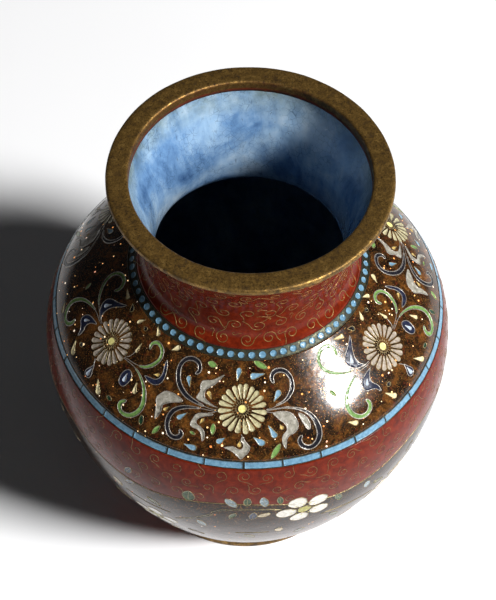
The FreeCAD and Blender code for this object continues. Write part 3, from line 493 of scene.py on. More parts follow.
class Mat:
    def __init__(self, name):
        self.m = bpy.data.materials.new(name)
        self.m.use_nodes = True
        self.t = self.m.node_tree
        self.t.nodes.clear()
        self.out = self.node("ShaderNodeOutputMaterial")
        self.bsdf = self.node("ShaderNodeBsdfPrincipled")
        self.link(self.bsdf.outputs[0], self.out.inputs[0])
        self.tc = self.node("ShaderNodeTexCoord")
        self.obj = self.tc.outputs["Object"]

    def node(self, kind):
        return self.t.nodes.new(kind)

    def link(self, a, b):
        self.t.links.new(a, b)

    def set(self, **kw):
        for k, v in kw.items():
            self.bsdf.inputs[k.replace("_", " ")].default_value = v
        return self

    def noise(self, scale, detail=4, rough=0.55, vec=None, distortion=0.0, w=None):
        n = self.node("ShaderNodeTexNoise")
        if w is not None:
            n.noise_dimensions = "4D"
            n.inputs["W"].default_value = w
        n.inputs["Scale"].default_value = scale
        n.inputs["Detail"].default_value = detail
        n.inputs["Roughness"].default_value = rough
        n.inputs["Distortion"].default_value = distortion
        self.link(vec or self.obj, n.inputs["Vector"])
        return n.outputs["Fac"]

    def scaled(self, x, y, z):
        n = self.node("ShaderNodeMapping")
        n.inputs["Scale"].default_value = (x, y, z)
        self.link(self.obj, n.inputs["Vector"])
        return n.outputs["Vector"]

    def voronoi(self, scale, feature="F1", vec=None, rand=1.0):
        n = self.node("ShaderNodeTexVoronoi")
        n.feature = feature
        n.inputs["Scale"].default_value = scale
        n.inputs["Randomness"].default_value = rand
        self.link(vec or self.obj, n.inputs["Vector"])
        return n

    def ramp(self, fac, stops, interp="LINEAR"):
        n = self.node("ShaderNodeValToRGB")
        n.color_ramp.interpolation = interp
        els = n.color_ramp.elements
        while len(els) < len(stops):
            els.new(0.5)
        for e, (p, c) in zip(els, stops):
            e.position = p
            e.color = c if len(c) == 4 else (*c, 1.0)
        self.link(fac, n.inputs["Fac"])
        return n.outputs["Color"]

    def grey(self, fac, a, b, va=0.0, vb=1.0):
        n = self.node("ShaderNodeMapRange")
        n.inputs["From Min"].default_value = a
        n.inputs["From Max"].default_value = b
        n.inputs["To Min"].default_value = va
        n.inputs["To Max"].default_value = vb
        self.link(fac, n.inputs["Value"])
        return n.outputs["Result"]

    def math(self, op, a, b=None):
        n = self.node("ShaderNodeMath")
        n.operation = op
        for i, x in enumerate((a, b)):
            if x is None:
                continue
            if isinstance(x, (int, float)):
                n.inputs[i].default_value = x
            else:
                self.link(x, n.inputs[i])
        return n.outputs[0]

    def mix(self, fac, a, b, mode="MIX"):
        n = self.node("ShaderNodeMix")
        n.data_type = "RGBA"
        n.blend_type = mode
        ins = [s for s in n.inputs if s.enabled] if False else n.inputs
        for sock, x in ((n.inputs[0], fac), (n.inputs[6], a), (n.inputs[7], b)):
            if isinstance(x, (int, float)):
                sock.default_value = x
            elif isinstance(x, tuple):
                sock.default_value = x
            else:
                self.link(x, sock)
        return n.outputs[2]

    def bump(self, height, strength, distance, normal=None):
        n = self.node("ShaderNodeBump")
        n.inputs["Strength"].default_value = strength
        n.inputs["Distance"].default_value = distance
        self.link(height, n.inputs["Height"])
        if normal is not None:
            self.link(normal, n.inputs["Normal"])
        return n.outputs["Normal"]

    def to(self, out, name):
        self.link(out, self.bsdf.inputs[name])


def enamel(name, a, b, c=None, scale=900.0, speck=0.5, gloss=0.13, wave=0.6, spec=0.20, coat=0.08):
    """glassy enamel: two or three tones mottled, with dark pits and fine grain"""
    m = Mat(name)
    tone = m.ramp(m.noise(scale, 6, 0.62, distortion=0.4), [(0.32, a), (0.55, b), (0.74, c or b)])
    grain = m.ramp(m.noise(scale * 7.0, 3, 0.6), [(0.30, (0.62, 0.62, 0.62, 1)), (0.5, (1, 1, 1, 1)), (0.8, (1.16, 1.16, 1.16, 1))])
    col = m.mix(0.55, tone, m.mix(1.0, tone, grain, "MULTIPLY"))
    v = m.voronoi(2600.0)
    pit = m.grey(v.outputs["Distance"], 0.10, 0.17, 1.0, 0.0)
    few = m.grey(m.noise(1300.0, 2), 0.60, 0.66)
    pits = m.math("MULTIPLY", pit, few)
    col = m.mix(m.math("MULTIPLY", pits, speck), col, (0.02, 0.017, 0.013, 1))
    m.to(col, "Base Color")
    rough = m.math("ADD", m.grey(m.noise(1800.0, 3), 0.3, 0.8, gloss, gloss + 0.10), m.math("MULTIPLY", pits, 0.4))
    m.to(rough, "Roughness")
    n1 = m.bump(m.noise(210.0, 2, 0.5), 0.30 * wave, 0.0006)
    n2 = m.bump(m.math("SUBTRACT", m.noise(2400.0, 3), pits), 0.12, 0.00010, n1)
    m.to(n2, "Normal")
    m.set(Specular_IOR_Level=spec, IOR=1.5, Coat_Weight=coat, Coat_Roughness=0.10)
    return m.m


def aventurine(name, dark, mid, warm, glint_glow=1.0, red=0.5, dens=0.5, spec=0.26, coat=0.20):
    """goldstone enamel: brown glass packed with copper flecks, a few large ones painted as glints that glow"""
    m = Mat(name)
    big = m.noise(330.0, 5, 0.62, distortion=0.6)
    tone = m.ramp(big, [(0.34, dark), (0.50, mid), (0.66, warm)])
    fine = m.ramp(m.noise(2600.0, 4, 0.7), [(0.34, (0.35, 0.33, 0.32, 1)), (0.52, (1, 1, 1, 1)), (0.72, (1.9, 1.7, 1.45, 1))])
    col = m.mix(1.0, tone, fine, "MULTIPLY")
    # small copper flecks
    v = m.voronoi(5200.0)
    sep = m.node("ShaderNodeSeparateColor")
    m.link(v.outputs["Color"], sep.inputs[0])
    pick = m.grey(sep.outputs[0], 0.70, 0.76)
    disc = m.grey(v.outputs["Distance"], 0.30, 0.42, 1.0, 0.0)
    fleck = m.math("MULTIPLY", pick, disc)
    col = m.mix(m.math("MULTIPLY", fleck, 0.75), col, m.ramp(sep.outputs[1], [(0.0, srgb(126, 62, 20)), (0.45, srgb(190, 120, 44)), (0.8, srgb(224, 170, 96)), (1.0, srgb(150, 60, 34))]))
    # reddish veils
    veil = m.grey(m.noise(1100.0, 3, 0.6, w=3.1), 0.55, 0.72)
    col = m.mix(m.math("MULTIPLY", veil, red * 0.6), col, srgb(122, 44, 26))
    # a few large flecks painted as glints: a bright colour that also glows as emission
    v2 = m.voronoi(1450.0)
    sep2 = m.node("ShaderNodeSeparateColor")
    m.link(v2.outputs["Color"], sep2.inputs[0])
    lo = 1.0 - 0.38 * dens
    glint_pick = m.grey(sep2.outputs[0], lo, lo + 0.012)
    size = m.grey(sep2.outputs[1], 0.3, 1.0, 0.08, 0.34)
    glint_disc = m.math("LESS_THAN", v2.outputs["Distance"], size)
    painted_glint = m.math("MULTIPLY", glint_pick, glint_disc)
    painted_glint_colour = m.ramp(sep2.outputs[2], [(0.0, srgb(206, 118, 60)), (0.35, srgb(226, 160, 88)), (0.65, srgb(240, 200, 140)), (0.85, srgb(255, 236, 210)), (1.0, srgb(200, 110, 70))])
    col = m.mix(painted_glint, col, painted_glint_colour)
    m.to(col, "Base Color")
    # painted glints: these flecks give off light of their own, standing in for the lamp's sparkle
    m.to(painted_glint_colour, "Emission Color")
    m.to(m.math("MULTIPLY", painted_glint, 1.1 * glint_glow), "Emission Strength")
    m.to(m.math("ADD", m.grey(m.noise(1900.0, 3), 0.3, 0.8, 0.12, 0.22), 0.0), "Roughness")
    m.to(m.math("MULTIPLY", fleck, 0.6), "Metallic")
    n1 = m.bump(m.noise(200.0, 2, 0.5), 0.2, 0.0006)
    n2 = m.bump(m.noise(2300.0, 3), 0.10, 0.00010, n1)
    m.to(n2, "Normal")
    m.set(Specular_IOR_Level=spec, IOR=1.5, Coat_Weight=coat, Coat_Roughness=0.16)
    return m.m


def brass(name, dark, mid, light, scale=800.0, rough=0.42, metal=0.9, pit=1.0, edge=None):
    m = Mat(name)
    patina = m.noise(scale, 6, 0.65, distortion=0.5)
    col = m.ramp(patina, [(0.34, dark), (0.52, mid), (0.72, light)])
    speck = m.ramp(m.noise(scale * 4.5, 4, 0.75), [(0.38, (0.16, 0.15, 0.13, 1)), (0.47, (0.85, 0.84, 0.82, 1)), (0.56, (1, 1, 1, 1)), (0.70, (1.45, 1.38, 1.2, 1))])
    col = m.mix(0.85, col, m.mix(1.0, col, speck, "MULTIPLY"))
    v = m.voronoi(2300.0)
    holes = m.math("MULTIPLY", m.grey(v.outputs["Distance"], 0.16, 0.26, 1.0, 0.0), m.grey(m.noise(900.0, 3, w=7.0), 0.50, 0.60))
    col = m.mix(m.math("MULTIPLY", holes, 0.85), col, (0.012, 0.010, 0.007, 1))
    if edge:
        # the bare copper shows in a thin line round the inner edge of the lip
        s3 = m.node("ShaderNodeSeparateXYZ")
        m.link(m.obj, s3.inputs[0])
        rad = m.math("SQRT", m.math("ADD", m.math("MULTIPLY", s3.outputs[0], s3.outputs[0]), m.math("MULTIPLY", s3.outputs[1], s3.outputs[1])), 0.0)
        worn = m.math("MULTIPLY", m.math("MULTIPLY", m.grey(rad, edge, edge + 0.00022, 1.0, 0.0), m.grey(s3.outputs[2], 0.09795, 0.09825, 1.0, 0.12)), m.grey(m.noise(500.0, 4, 0.6, w=4.0), 0.34, 0.55, 0.35, 1.0))
        col = m.mix(worn, col, srgb(150, 62, 34))
    m.to(col, "Base Color")
    m.to(m.grey(patina, 0.3, 0.75, rough + 0.14, rough - 0.06), "Roughness")
    m.to(m.math("SUBTRACT", m.grey(patina, 0.3, 0.6, metal - 0.25, metal), m.math("MULTIPLY", holes, 0.5)), "Metallic")
    n1 = m.bump(m.noise(420.0, 4, 0.6), 0.35, 0.0004)
    n2 = m.bump(m.math("SUBTRACT", m.noise(3600.0, 4, 0.7), m.math("MULTIPLY", holes, 1.5)), 0.35 * pit, 0.00012, n1)
    m.to(n2, "Normal")
    m.set(IOR=1.45)
    return m.m

# ---------------------------------------------------------------- materials of the vase
M_RED = enamel("red_enamel", srgb(74, 20, 8), srgb(100, 29, 11), srgb(118, 44, 20), scale=700, speck=0.7, gloss=0.14, spec=0.10, coat=0.03)
M_TURQ = enamel("turquoise_enamel", srgb(80, 116, 140), srgb(102, 142, 166), srgb(130, 164, 182), scale=1500, speck=0.6, gloss=0.16)
M_TEAR = enamel("teardrop_enamel", srgb(92, 126, 148), srgb(118, 152, 172), srgb(152, 178, 192), scale=1700, speck=0.4, gloss=0.16)
M_CREAM = enamel("cream_petal_enamel", srgb(146, 138, 104), srgb(184, 176, 138), srgb(206, 200, 166), scale=1700, speck=0.5, gloss=0.18)
M_LILAC = enamel("lilac_petal_enamel", srgb(124, 112, 100), srgb(160, 148, 134), srgb(186, 176, 162), scale=1700, speck=0.5, gloss=0.18)
M_YELLOW = enamel("pale_yellow_enamel", srgb(206, 196, 116), srgb(226, 218, 140), srgb(238, 232, 166), scale=2200, speck=0.4, gloss=0.18)
M_DARK = enamel("black_enamel", srgb(16, 16, 20), srgb(30, 30, 36), srgb(60, 58, 66), scale=1300, speck=0.2, gloss=0.14)
M_GREEN = enamel("leaf_green_enamel", srgb(78, 108, 54), srgb(108, 142, 78), srgb(140, 168, 106), scale=1500, speck=0.5, gloss=0.16)
M_WHITE = enamel("grey_white_enamel", srgb(112, 108, 96), srgb(152, 148, 136), srgb(188, 184, 174), scale=1400, speck=0.6, gloss=0.18)
M_GOLD = enamel("ochre_enamel", srgb(164, 132, 66), srgb(200, 170, 98), srgb(222, 198, 138), scale=2000, speck=0.5, gloss=0.18)
M_NAVY = enamel("navy_enamel", srgb(20, 22, 34), srgb(34, 38, 58), srgb(60, 66, 88), scale=1300, speck=0.3, gloss=0.14)
M_PALE = enamel("pale_blue_enamel", srgb(150, 166, 186), srgb(180, 194, 212), srgb(206, 216, 226), scale=1700, speck=0.4, gloss=0.16)
M_DROP = enamel("cream_drop_enamel", srgb(188, 170, 124), srgb(218, 204, 160), srgb(232, 224, 190), scale=1900, speck=0.5, gloss=0.18)
M_BLACK = enamel("jet_enamel", srgb(8, 8, 9), srgb(18, 17, 18), srgb(36, 32, 34), scale=1300, speck=0.1, gloss=0.14)
M_DEEP = enamel("deep_green_enamel", srgb(12, 30, 20), srgb(26, 54, 36), srgb(48, 82, 56), scale=1400, speck=0.2, gloss=0.14)
M_BLOSSOM = enamel("blossom_white_enamel", srgb(186, 180, 168), srgb(218, 214, 204), srgb(234, 230, 222), scale=1500, speck=0.4, gloss=0.16)
M_BLOOMC = enamel("blossom_centre_enamel", srgb(132, 126, 60), srgb(170, 164, 88), srgb(196, 190, 116), scale=2200, speck=0.6, gloss=0.2)
M_BUD = enamel("bud_enamel", srgb(150, 134, 108), srgb(190, 176, 146), srgb(210, 200, 176), scale=1900, speck=0.5, gloss=0.18)
M_LGREY = enamel("grey_blue_leaf_enamel", srgb(92, 106, 112), srgb(134, 150, 156), srgb(172, 184, 188), scale=1600, speck=0.5, gloss=0.16)
M_LGREEN = enamel("dark_green_leaf_enamel", srgb(34, 50, 32), srgb(58, 78, 50), srgb(84, 104, 70), scale=1600, speck=0.4, gloss=0.16)
M_LNAVY = enamel("navy_leaf_enamel", srgb(28, 34, 52), srgb(46, 56, 80), srgb(74, 86, 108), scale=1600, speck=0.3, gloss=0.16)
M_STEM = enamel("stem_enamel", srgb(24, 26, 22), srgb(40, 44, 36), srgb(62, 66, 54), scale=1500, speck=0.3, gloss=0.18)
M_SHOULDER = aventurine("goldstone_enamel", srgb(18, 11, 6), srgb(48, 31, 14), srgb(96, 60, 24), dens=0.42, spec=0.34, coat=0.24)
# painted shade: the frieze ground is the shoulder's goldstone made about half as dark, for the shade on the lower body
M_FRIEZE = aventurine("goldstone_painted_shade_enamel", srgb(10, 7, 6), srgb(22, 15, 11), srgb(44, 28, 18), glint_glow=0.5, red=0.25, dens=0.16, spec=0.10, coat=0.03)
M_WIRE = brass("wire_brass", srgb(96, 84, 56), srgb(150, 134, 94), srgb(190, 176, 134), scale=1500, rough=0.36, metal=0.75, pit=0.4)
M_SILVER = brass("wire_silvery", srgb(120, 114, 106), srgb(170, 164, 156), srgb(206, 200, 192), scale=1500, rough=0.36, metal=0.7, pit=0.4)
M_TARN = brass("wire_tarnished", srgb(30, 34, 30), srgb(56, 58, 46), srgb(96, 92, 66), scale=1500, rough=0.42, metal=0.7, pit=0.5)
M_CURL = brass("wire_gold", srgb(88, 64, 26), srgb(128, 98, 46), srgb(166, 132, 74), scale=1200, rough=0.36, metal=0.5, pit=0.4)
M_CURL2 = brass("wire_gold_dull", srgb(76, 52, 22), srgb(110, 82, 38), srgb(142, 110, 58), scale=1200, rough=0.38, metal=0.4, pit=0.4)
M_RIM = brass("aged_brass", srgb(72, 53, 25), srgb(120, 92, 45), srgb(176, 140, 78), scale=800, rough=0.44, metal=0.78, edge=0.02196)
M_COPPER = brass("bare_copper", srgb(110, 58, 38), srgb(150, 84, 56), srgb(184, 116, 84), scale=520, rough=0.45)


def lining():
    m = Mat("sky_blue_lining")
    sep = m.node("ShaderNodeSeparateXYZ")
    m.link(m.obj, sep.inputs[0])
    z = sep.outputs[2]
    streaks = m.noise(1.0, 5, 0.6, vec=m.scaled(230, 230, 70), distortion=0.4)
    blot = m.noise(85.0, 7, 0.58, distortion=0.5)
    tone = m.ramp(m.math("ADD", m.math("MULTIPLY", streaks, 0.35), m.math("MULTIPLY", blot, 0.65)),
                  [(0.33, srgb(48, 80, 122)), (0.43, srgb(98, 134, 174)), (0.52, srgb(142, 172, 200)), (0.66, srgb(188, 206, 218))])
    stain = m.math("MULTIPLY", m.grey(z, 0.0925, 0.0972), m.grey(m.noise(260.0, 5, 0.7, w=5.0), 0.30, 0.62))
    col = m.mix(m.math("MULTIPLY", stain, 0.75), tone, srgb(84, 92, 62))
    dirt = m.grey(m.noise(1.0, 5, 0.7, vec=m.scaled(1300, 1300, 240)), 0.60, 0.76)
    col = m.mix(m.math("MULTIPLY", dirt, 0.55), col, srgb(44, 52, 56))
    v = m.voronoi(900.0, "DISTANCE_TO_EDGE")
    crack = m.math("MULTIPLY", m.grey(v.outputs["Distance"], 0.0, 0.045, 1.0, 0.0), m.grey(m.noise(240.0, 3, w=2.0), 0.42, 0.6))
    col = m.mix(m.math("MULTIPLY", crack, 0.6), col, srgb(40, 60, 84))
    p = m.voronoi(1900.0)
    pit = m.math("MULTIPLY", m.grey(p.outputs["Distance"], 0.12, 0.2, 1.0, 0.0), m.grey(m.noise(700.0, 2), 0.56, 0.62))
    col = m.mix(m.math("MULTIPLY", pit, 0.8), col, srgb(28, 32, 34))
    # painted shade: the lining is darkened towards the bottom, standing in for shade deep inside the vase
    deep = m.grey(z, 0.074, 0.090, 0.25, 1.0)
    col = m.mix(1.0, col, m.ramp(deep, [(0.0, (0.1, 0.12, 0.16, 1)), (1.0, (1, 1, 1, 1))]), "MULTIPLY")
    m.to(col, "Base Color")
    m.to(m.math("ADD", m.grey(m.noise(900.0, 3), 0.3, 0.8, 0.12, 0.28), m.math("MULTIPLY", pit, 0.3)), "Roughness")
    n1 = m.bump(m.noise(150.0, 2, 0.45), 0.55, 0.0012)
    n2 = m.bump(m.math("SUBTRACT", m.noise(1500.0, 3, 0.6), m.math("ADD", crack, pit)), 0.16, 0.00012, n1)
    m.to(n2, "Normal")
    m.set(Specular_IOR_Level=0.55, IOR=1.5, Coat_Weight=0.35, Coat_Roughness=0.08)
    return m.m


M_LINING = lining()

# ---------------------------------------------------------------- lathe-turned pieces
BAND = BEAD_RADIUS + 0.12
done = set()


def stand_in(ob, *names):
    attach(ob, "root")
    good = [n for n in names if n in NODES]
    if good:
        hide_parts(*good)
        done.update(good)
    return ob


def uneven(R, Z, A):
    k = 0.035 * (np.sin(3 * A + 0.8) + 0.6 * np.sin(5 * A + 2.1) + 0.45 * np.sin(11 * A + 0.3) + 0.3 * np.sin(23 * A + Z))
    return R + 0.6 * k * (R > 23.5), Z + 0.8 * k


in_top = NECK_TOP_R - 1.8
rim = [(RIM_IN_R, HEIGHT - LIP_DEPTH), (in_top - 0.02, HEIGHT - LIP_DEPTH + 0.02), (in_top - 0.02, HEIGHT - RIM_T), (23.2, HEIGHT - RIM_T), (24.6, HEIGHT - RIM_T), (25.55, HEIGHT - RIM_T),
       (25.83, HEIGHT - RIM_T + 0.07), (25.96, HEIGHT - RIM_T + 0.25), (26.0, HEIGHT - 0.95), (25.99, HEIGHT - 0.62), (25.94, HEIGHT - 0.36), (25.82, HEIGHT - 0.17), (25.62, HEIGHT - 0.06),
       (25.3, HEIGHT - 0.01), (24.7, HEIGHT), (24.0, HEIGHT - 0.01), (23.3, HEIGHT - 0.02), (22.75, HEIGHT - 0.02), (22.4, HEIGHT - 0.02), (22.16, HEIGHT - 0.07), (21.99, HEIGHT - 0.2), (21.91, HEIGHT - 0.45), (21.9, HEIGHT - 1.0), (21.9, HEIGHT - 1.7)]
stand_in(lathe("mouth_rim", rim, M_RIM, 512, wobble=uneven), "mouth_rim")
foot = [(FOOT_IN_R, 2.8), (23.4, 2.8), (23.86, 2.6), (24.1, 2.4), (24.45, 1.9), (24.62, 1.3), (24.69, 0.7), (24.66, 0.3), (24.55, 0.06), (24.4, 0.0), (23.7, 0.0), (23.1, 0.0), (22.85, 0.07), (22.68, 0.25), (22.6, 0.6), (FOOT_IN_R, 1.6)]
stand_in(lathe("foot_ring", foot, M_RIM, 384), "foot_ring")
stand_in(lathe("neck_enamel", band_loop(S_TOP, -BAND - 0.1), M_RED, 384), "neck_enamel")
stand_in(lathe("shoulder_enamel", band_loop(BAND + 0.1, LINE_TOP - 0.18, step=0.25), M_SHOULDER, 400), "shoulder_enamel")
stand_in(lathe("bead_ring_ground", band_loop(-BAND - 0.12, BAND + 0.12, step=0.15, lift=-0.05), M_TARN, 384), "bead_ring_wires")
stand_in(lathe("foot_enamel", band_loop(LOW_LINE_BOTTOM + 0.18, S_END), M_RED, 320), "foot_enamel")


def edge_arc(deg):
    return RED_EDGE - 0.9 + 3.2 * 0.5 * (1.0 - np.cos(np.radians(6.0 * (np.asarray(deg) + 1.0))))


def between(name, top, bottom, material, rows, seg, depth=0.5):
    """a closed ring of enamel between two edges that may wander with the angle"""
    deg = np.linspace(0, 360, seg, endpoint=False)
    t, b = np.broadcast_to(top(deg), deg.shape), np.broadcast_to(bottom(deg), deg.shape)
    out = []
    for i in range(rows + 1):
        out.append(wall(deg, t + (b - t) * i / rows, 0.0))
    for i in range(rows, -1, -max(rows // 10, 1)):
        out.append(wall(deg, t + (b - t) * i / rows, -depth))
    n = len(out)
    v = np.stack(out, 1).reshape(-1, 3)
    faces = []
    for i in range(seg):
        j = (i + 1) % seg
        for k in range(n):
            l = (k + 1) % n
            faces.append((i * n + k, i * n + l, j * n + l, j * n + k))
    return recalc(new_object(name, v, faces, material))


stand_in(between("belly_enamel", lambda d: LINE_BOTTOM + 0.18, edge_arc, M_RED, 34, 480), "belly_enamel")
stand_in(between("frieze_enamel", edge_arc, lambda d: LOW_LINE_TOP - 0.18, M_FRIEZE, 90, 480), "frieze_enamel")

s_in = np.linspace(S_TOP, S_END - 0.5, 260)
r_ = np.interp(s_in, arc, prof[:, 0]); z_ = np.interp(s_in, arc, prof[:, 1])
nr_ = np.interp(s_in, arc, nrm[:, 0]); nz_ = np.interp(s_in, arc, nrm[:, 1])
k_ = np.hypot(nr_, nz_)
inner = np.stack([r_ - 1.8 * nr_ / k_, z_ - 1.8 * nz_ / k_], 1)
back = np.stack([r_ - 1.31 * nr_ / k_, z_ - 1.31 * nz_ / k_], 1)[::-12]
inner[0] = (in_top, HEIGHT - RIM_T)
floor_z = 4.19
inner = inner[inner[:, 1] > floor_z + 0.3]
back = back[back[:, 1] > floor_z - 0.3]
r_end = inner[-1, 0]
loop = list(map(tuple, inner)) + [(r_end - 0.35, floor_z + 0.06), (r_end - 1.0, floor_z)] + [(r_end * f, floor_z) for f in (0.8, 0.6, 0.4, 0.2, 0.05)] + [(0.0, floor_z), (0.0, floor_z - 0.45)] + [(r_end * 0.5, floor_z - 0.45), (r_end + 0.2, floor_z - 0.45)] + list(map(tuple, back))
stand_in(lathe("inner_enamel", loop, M_LINING, 320), "inner_enamel")

# ---------------------------------------------------------------- beads at the foot of the neck
rng = np.random.default_rng(11)
bag = Bag()
ring_bag = Bag()
for k in range(BEADS):
    deg = 360.0 * (k + 0.5) / BEADS + rng.uniform(-0.12, 0.12)
    rr = 0.88 * BEAD_RADIUS * rng.uniform(0.93, 1.04)
    half = math.degrees(rr / BEAD_R)
    o = [(deg + half * 0.98 * math.cos(i * math.pi / 6), rng.uniform(-0.03, 0.03) + rr * 0.92 * math.sin(i * math.pi / 6)) for i in range(12)]
    patch(bag, o, lift=0.03, dome=0.05, depth=0.2, cell=0.4, fine=2)
    wire(ring_bag, o, width=0.11, lift=0.05, depth=0.12, fine=2)
stand_in(bag.make("neck_beads", M_TURQ), "neck_beads")


def hoop(bag, s_of, width, lift=0.05, depth=0.08, seg=480):
    deg = np.linspace(0, 360, seg, endpoint=False)
    s = np.broadcast_to(s_of(deg), deg.shape)
    rows = []
    for off, h in ((-1.0, -depth), (-1.0, lift * 0.4), (-0.5, lift * 0.92), (0.0, lift), (0.5, lift * 0.92), (1.0, lift * 0.4), (1.0, -depth)):
        rows.append(wall(deg, s + off * width / 2, h))
    c = len(rows)
    v = np.stack(rows, 1).reshape(-1, 3)
    faces = []
    for i in range(seg):
        j = (i + 1) % seg
        for r in range(c - 1):
            faces.append((i * c + r, j * c + r, j * c + r + 1, i * c + r + 1))
    bag.add(v, faces)


for s in (-BAND - 0.02, BAND + 0.02):
    hoop(ring_bag, lambda d, s=s: s + 0.03 * np.sin(np.radians(7 * d)), 0.2)
stand_in(ring_bag.make("bead_cell_wires", M_TARN))


# ---------------------------------------------------------------- turquoise lines
def line(name, top, bottom, count, phase, bars_node, wires_node):
    bars, wires = Bag(), Bag()
    step = 360.0 / count
    for k in range(count):
        a, b = phase + k * step + rng.uniform(-0.1, 0.1), phase + (k + 1) * step + rng.uniform(-0.1, 0.1)
        g = math.degrees(0.14 / radius_at(top))
        pts = []
        n = 14
        for i in range(n + 1):
            pts.append((a + g + (b - a - 2 * g) * i / n, top + 0.06 + 0.02 * math.sin(k + i)))
        for i in range(4):
            pts.append((b - g, top + 0.06 + (bottom - top - 0.12) * (i + 1) / 5))
        for i in range(n + 1):
            pts.append((b - g - (b - a - 2 * g) * i / n, bottom - 0.06 + 0.02 * math.sin(2 * k + i)))
        for i in range(4):
            pts.append((a + g, bottom - 0.06 - (bottom - top - 0.12) * (i + 1) / 5))
        patch(bars, pts, lift=0.02, dome=0.02, depth=0.15, cell=0.42, smoothed=False)
        wire(wires, [(a, top - 0.02), (a + 0.03, (top + bottom) / 2), (a, bottom + 0.02)], width=0.17, lift=0.05, closed=False, fine=3)
    for s in (top - 0.06, bottom + 0.06):
        hoop(wires, lambda d, s=s: s + 0.03 * np.sin(np.radians(9 * d + s)), 0.17)
    stand_in(bars.make(name + "_bars", M_TURQ), bars_node)
    stand_in(wires.make(name + "_wires", M_TARN), wires_node)
    stand_in(lathe(name + "_bed", band_loop(top - 0.2, bottom + 0.2, step=0.2, lift=-0.04), M_TARN, 320))


line("shoulder_line", LINE_TOP, LINE_BOTTOM, LINE_SEGMENTS, LINE_PHASE, "shoulder_line_bars", "shoulder_line_wires")
line("lower_line", LOW_LINE_TOP, LOW_LINE_BOTTOM, LOW_SEGMENTS, 4.0, "lower_line_bars", "lower_line_wires")

# ---------------------------------------------------------------- ornament of the shoulder
cells = {k: Bag() for k in ("petals_cream", "petals_lilac", "centres", "dark", "green_scroll", "white", "gold", "turquoise", "green", "navy", "cream", "black", "deep", "pale")}
w_scroll, w_fine, w_gold = Bag(), Bag(), Bag()


def place(outline, deg, s):
    return [(deg + x / U_DEG, s + y / U_MM) for x, y in outline]


for index, (deg, kind) in enumerate(FLOWERS):
    s = FLOWER_ARC[kind]
    for o in petal_outlines(jitter=0.02, rng=rng):
        q = place(o, deg, s)
        patch(cells["petals_" + kind], q, lift=0.02, dome=0.03, cell=0.36, fine=3)
        wire(w_fine, q, width=0.09, lift=0.035, fine=3)
    disc = place([(17 * math.cos(i * math.pi / 7), 17 * math.sin(i * math.pi / 7)) for i in range(14)], deg, s)
    patch(cells["centres"], disc, lift=0.03, dome=0.04, cell=0.3, fine=2)
    wire(w_gold, disc, width=0.13, lift=0.05, fine=2)
    for r, w in ((28, 0.08),):
        wire(w_fine, place([(r * math.cos(i * math.pi / 10), r * math.sin(i * math.pi / 10)) for i in range(20)], deg, s), width=w, lift=0.03, fine=2)
    # short wires from the centre to each petal
    for k in range(20):
        a = 2 * math.pi * k / 20
        wire(w_fine, place([(19 * math.cos(a), 19 * math.sin(a)), (31 * math.cos(a), 31 * math.sin(a)), (43 * math.cos(a), 43 * math.sin(a))], deg, s), width=0.08, lift=0.03, closed=False, fine=2, taper=0.5)
    if kind == "lilac":
        for group in CORES.values():
            for _, _, d in group:
                q = place(drop(*d), deg, s)
                patch(cells["pale"], q, lift=0.03, cell=0.3)
                wire(w_scroll, q, width=0.09, lift=0.045)
    for group in DESIGN[kind]:
        for shape, colour, data in group:
            key = "green_scroll" if (shape, colour) == ("scroll", "green") else colour
            if shape == "scroll":
                data = [tuple(x) for x in smooth_line(data, 2)]
            q = place(SHAPES[shape](data), deg, s)
            patch(cells[key], q, lift=0.015, dome=0.015, cell=0.36)
            if key in ("dark", "green_scroll"):
                wire(w_scroll, q, width=0.17 if key == "dark" else 0.14, lift=0.05)
            elif key in ("white", "navy"):
                wire(w_scroll, q, width=0.13, lift=0.045)
            elif key in ("gold",):
                wire(w_gold, q, width=0.10, lift=0.045)
            else:
                wire(w_gold if key in ("cream", "green", "deep") else w_fine, q, width=0.11, lift=0.045)
    # stems that tie the side ornament to the flower
    if kind == "cream":
        stems = [[(-104, 14), (-130, 15), (-160, 11), (-190, 5)], [(-104, 22), (-135, 22), (-165, 22), (-190, 24)], [(-104, 18), (-122, 28), (-140, 32)],
                 [(104, 4), (128, 2), (150, -6), (180, -18)], [(104, 10), (134, 8), (165, 8), (195, 9)], [(104, 6), (128, 6), (160, 5), (200, 6), (236, 24)], [(0, 105), (3, 112), (5, 122)],
                 [(-104, 6), (-120, 2), (-138, 0)], [(104, 14), (120, 18), (136, 22)]]
    else:
        stems = [[(104, 0), (130, -6), (160, -10), (195, -18)], [(104, 4), (130, 2), (156, 0), (186, 3)], [(-104, -4), (-124, -4), (-150, -8), (-208, -20)],
                 [(-104, 2), (-130, 4), (-160, 2), (-200, 6)], [(104, -4), (118, -16), (126, -36), (128, -56)], [(0, 105), (10, 118), (18, 132)]]
    for st in stems:
        wire(w_scroll, place(st, deg, s), width=0.13, lift=0.045, closed=False, fine=4, taper=0.5)

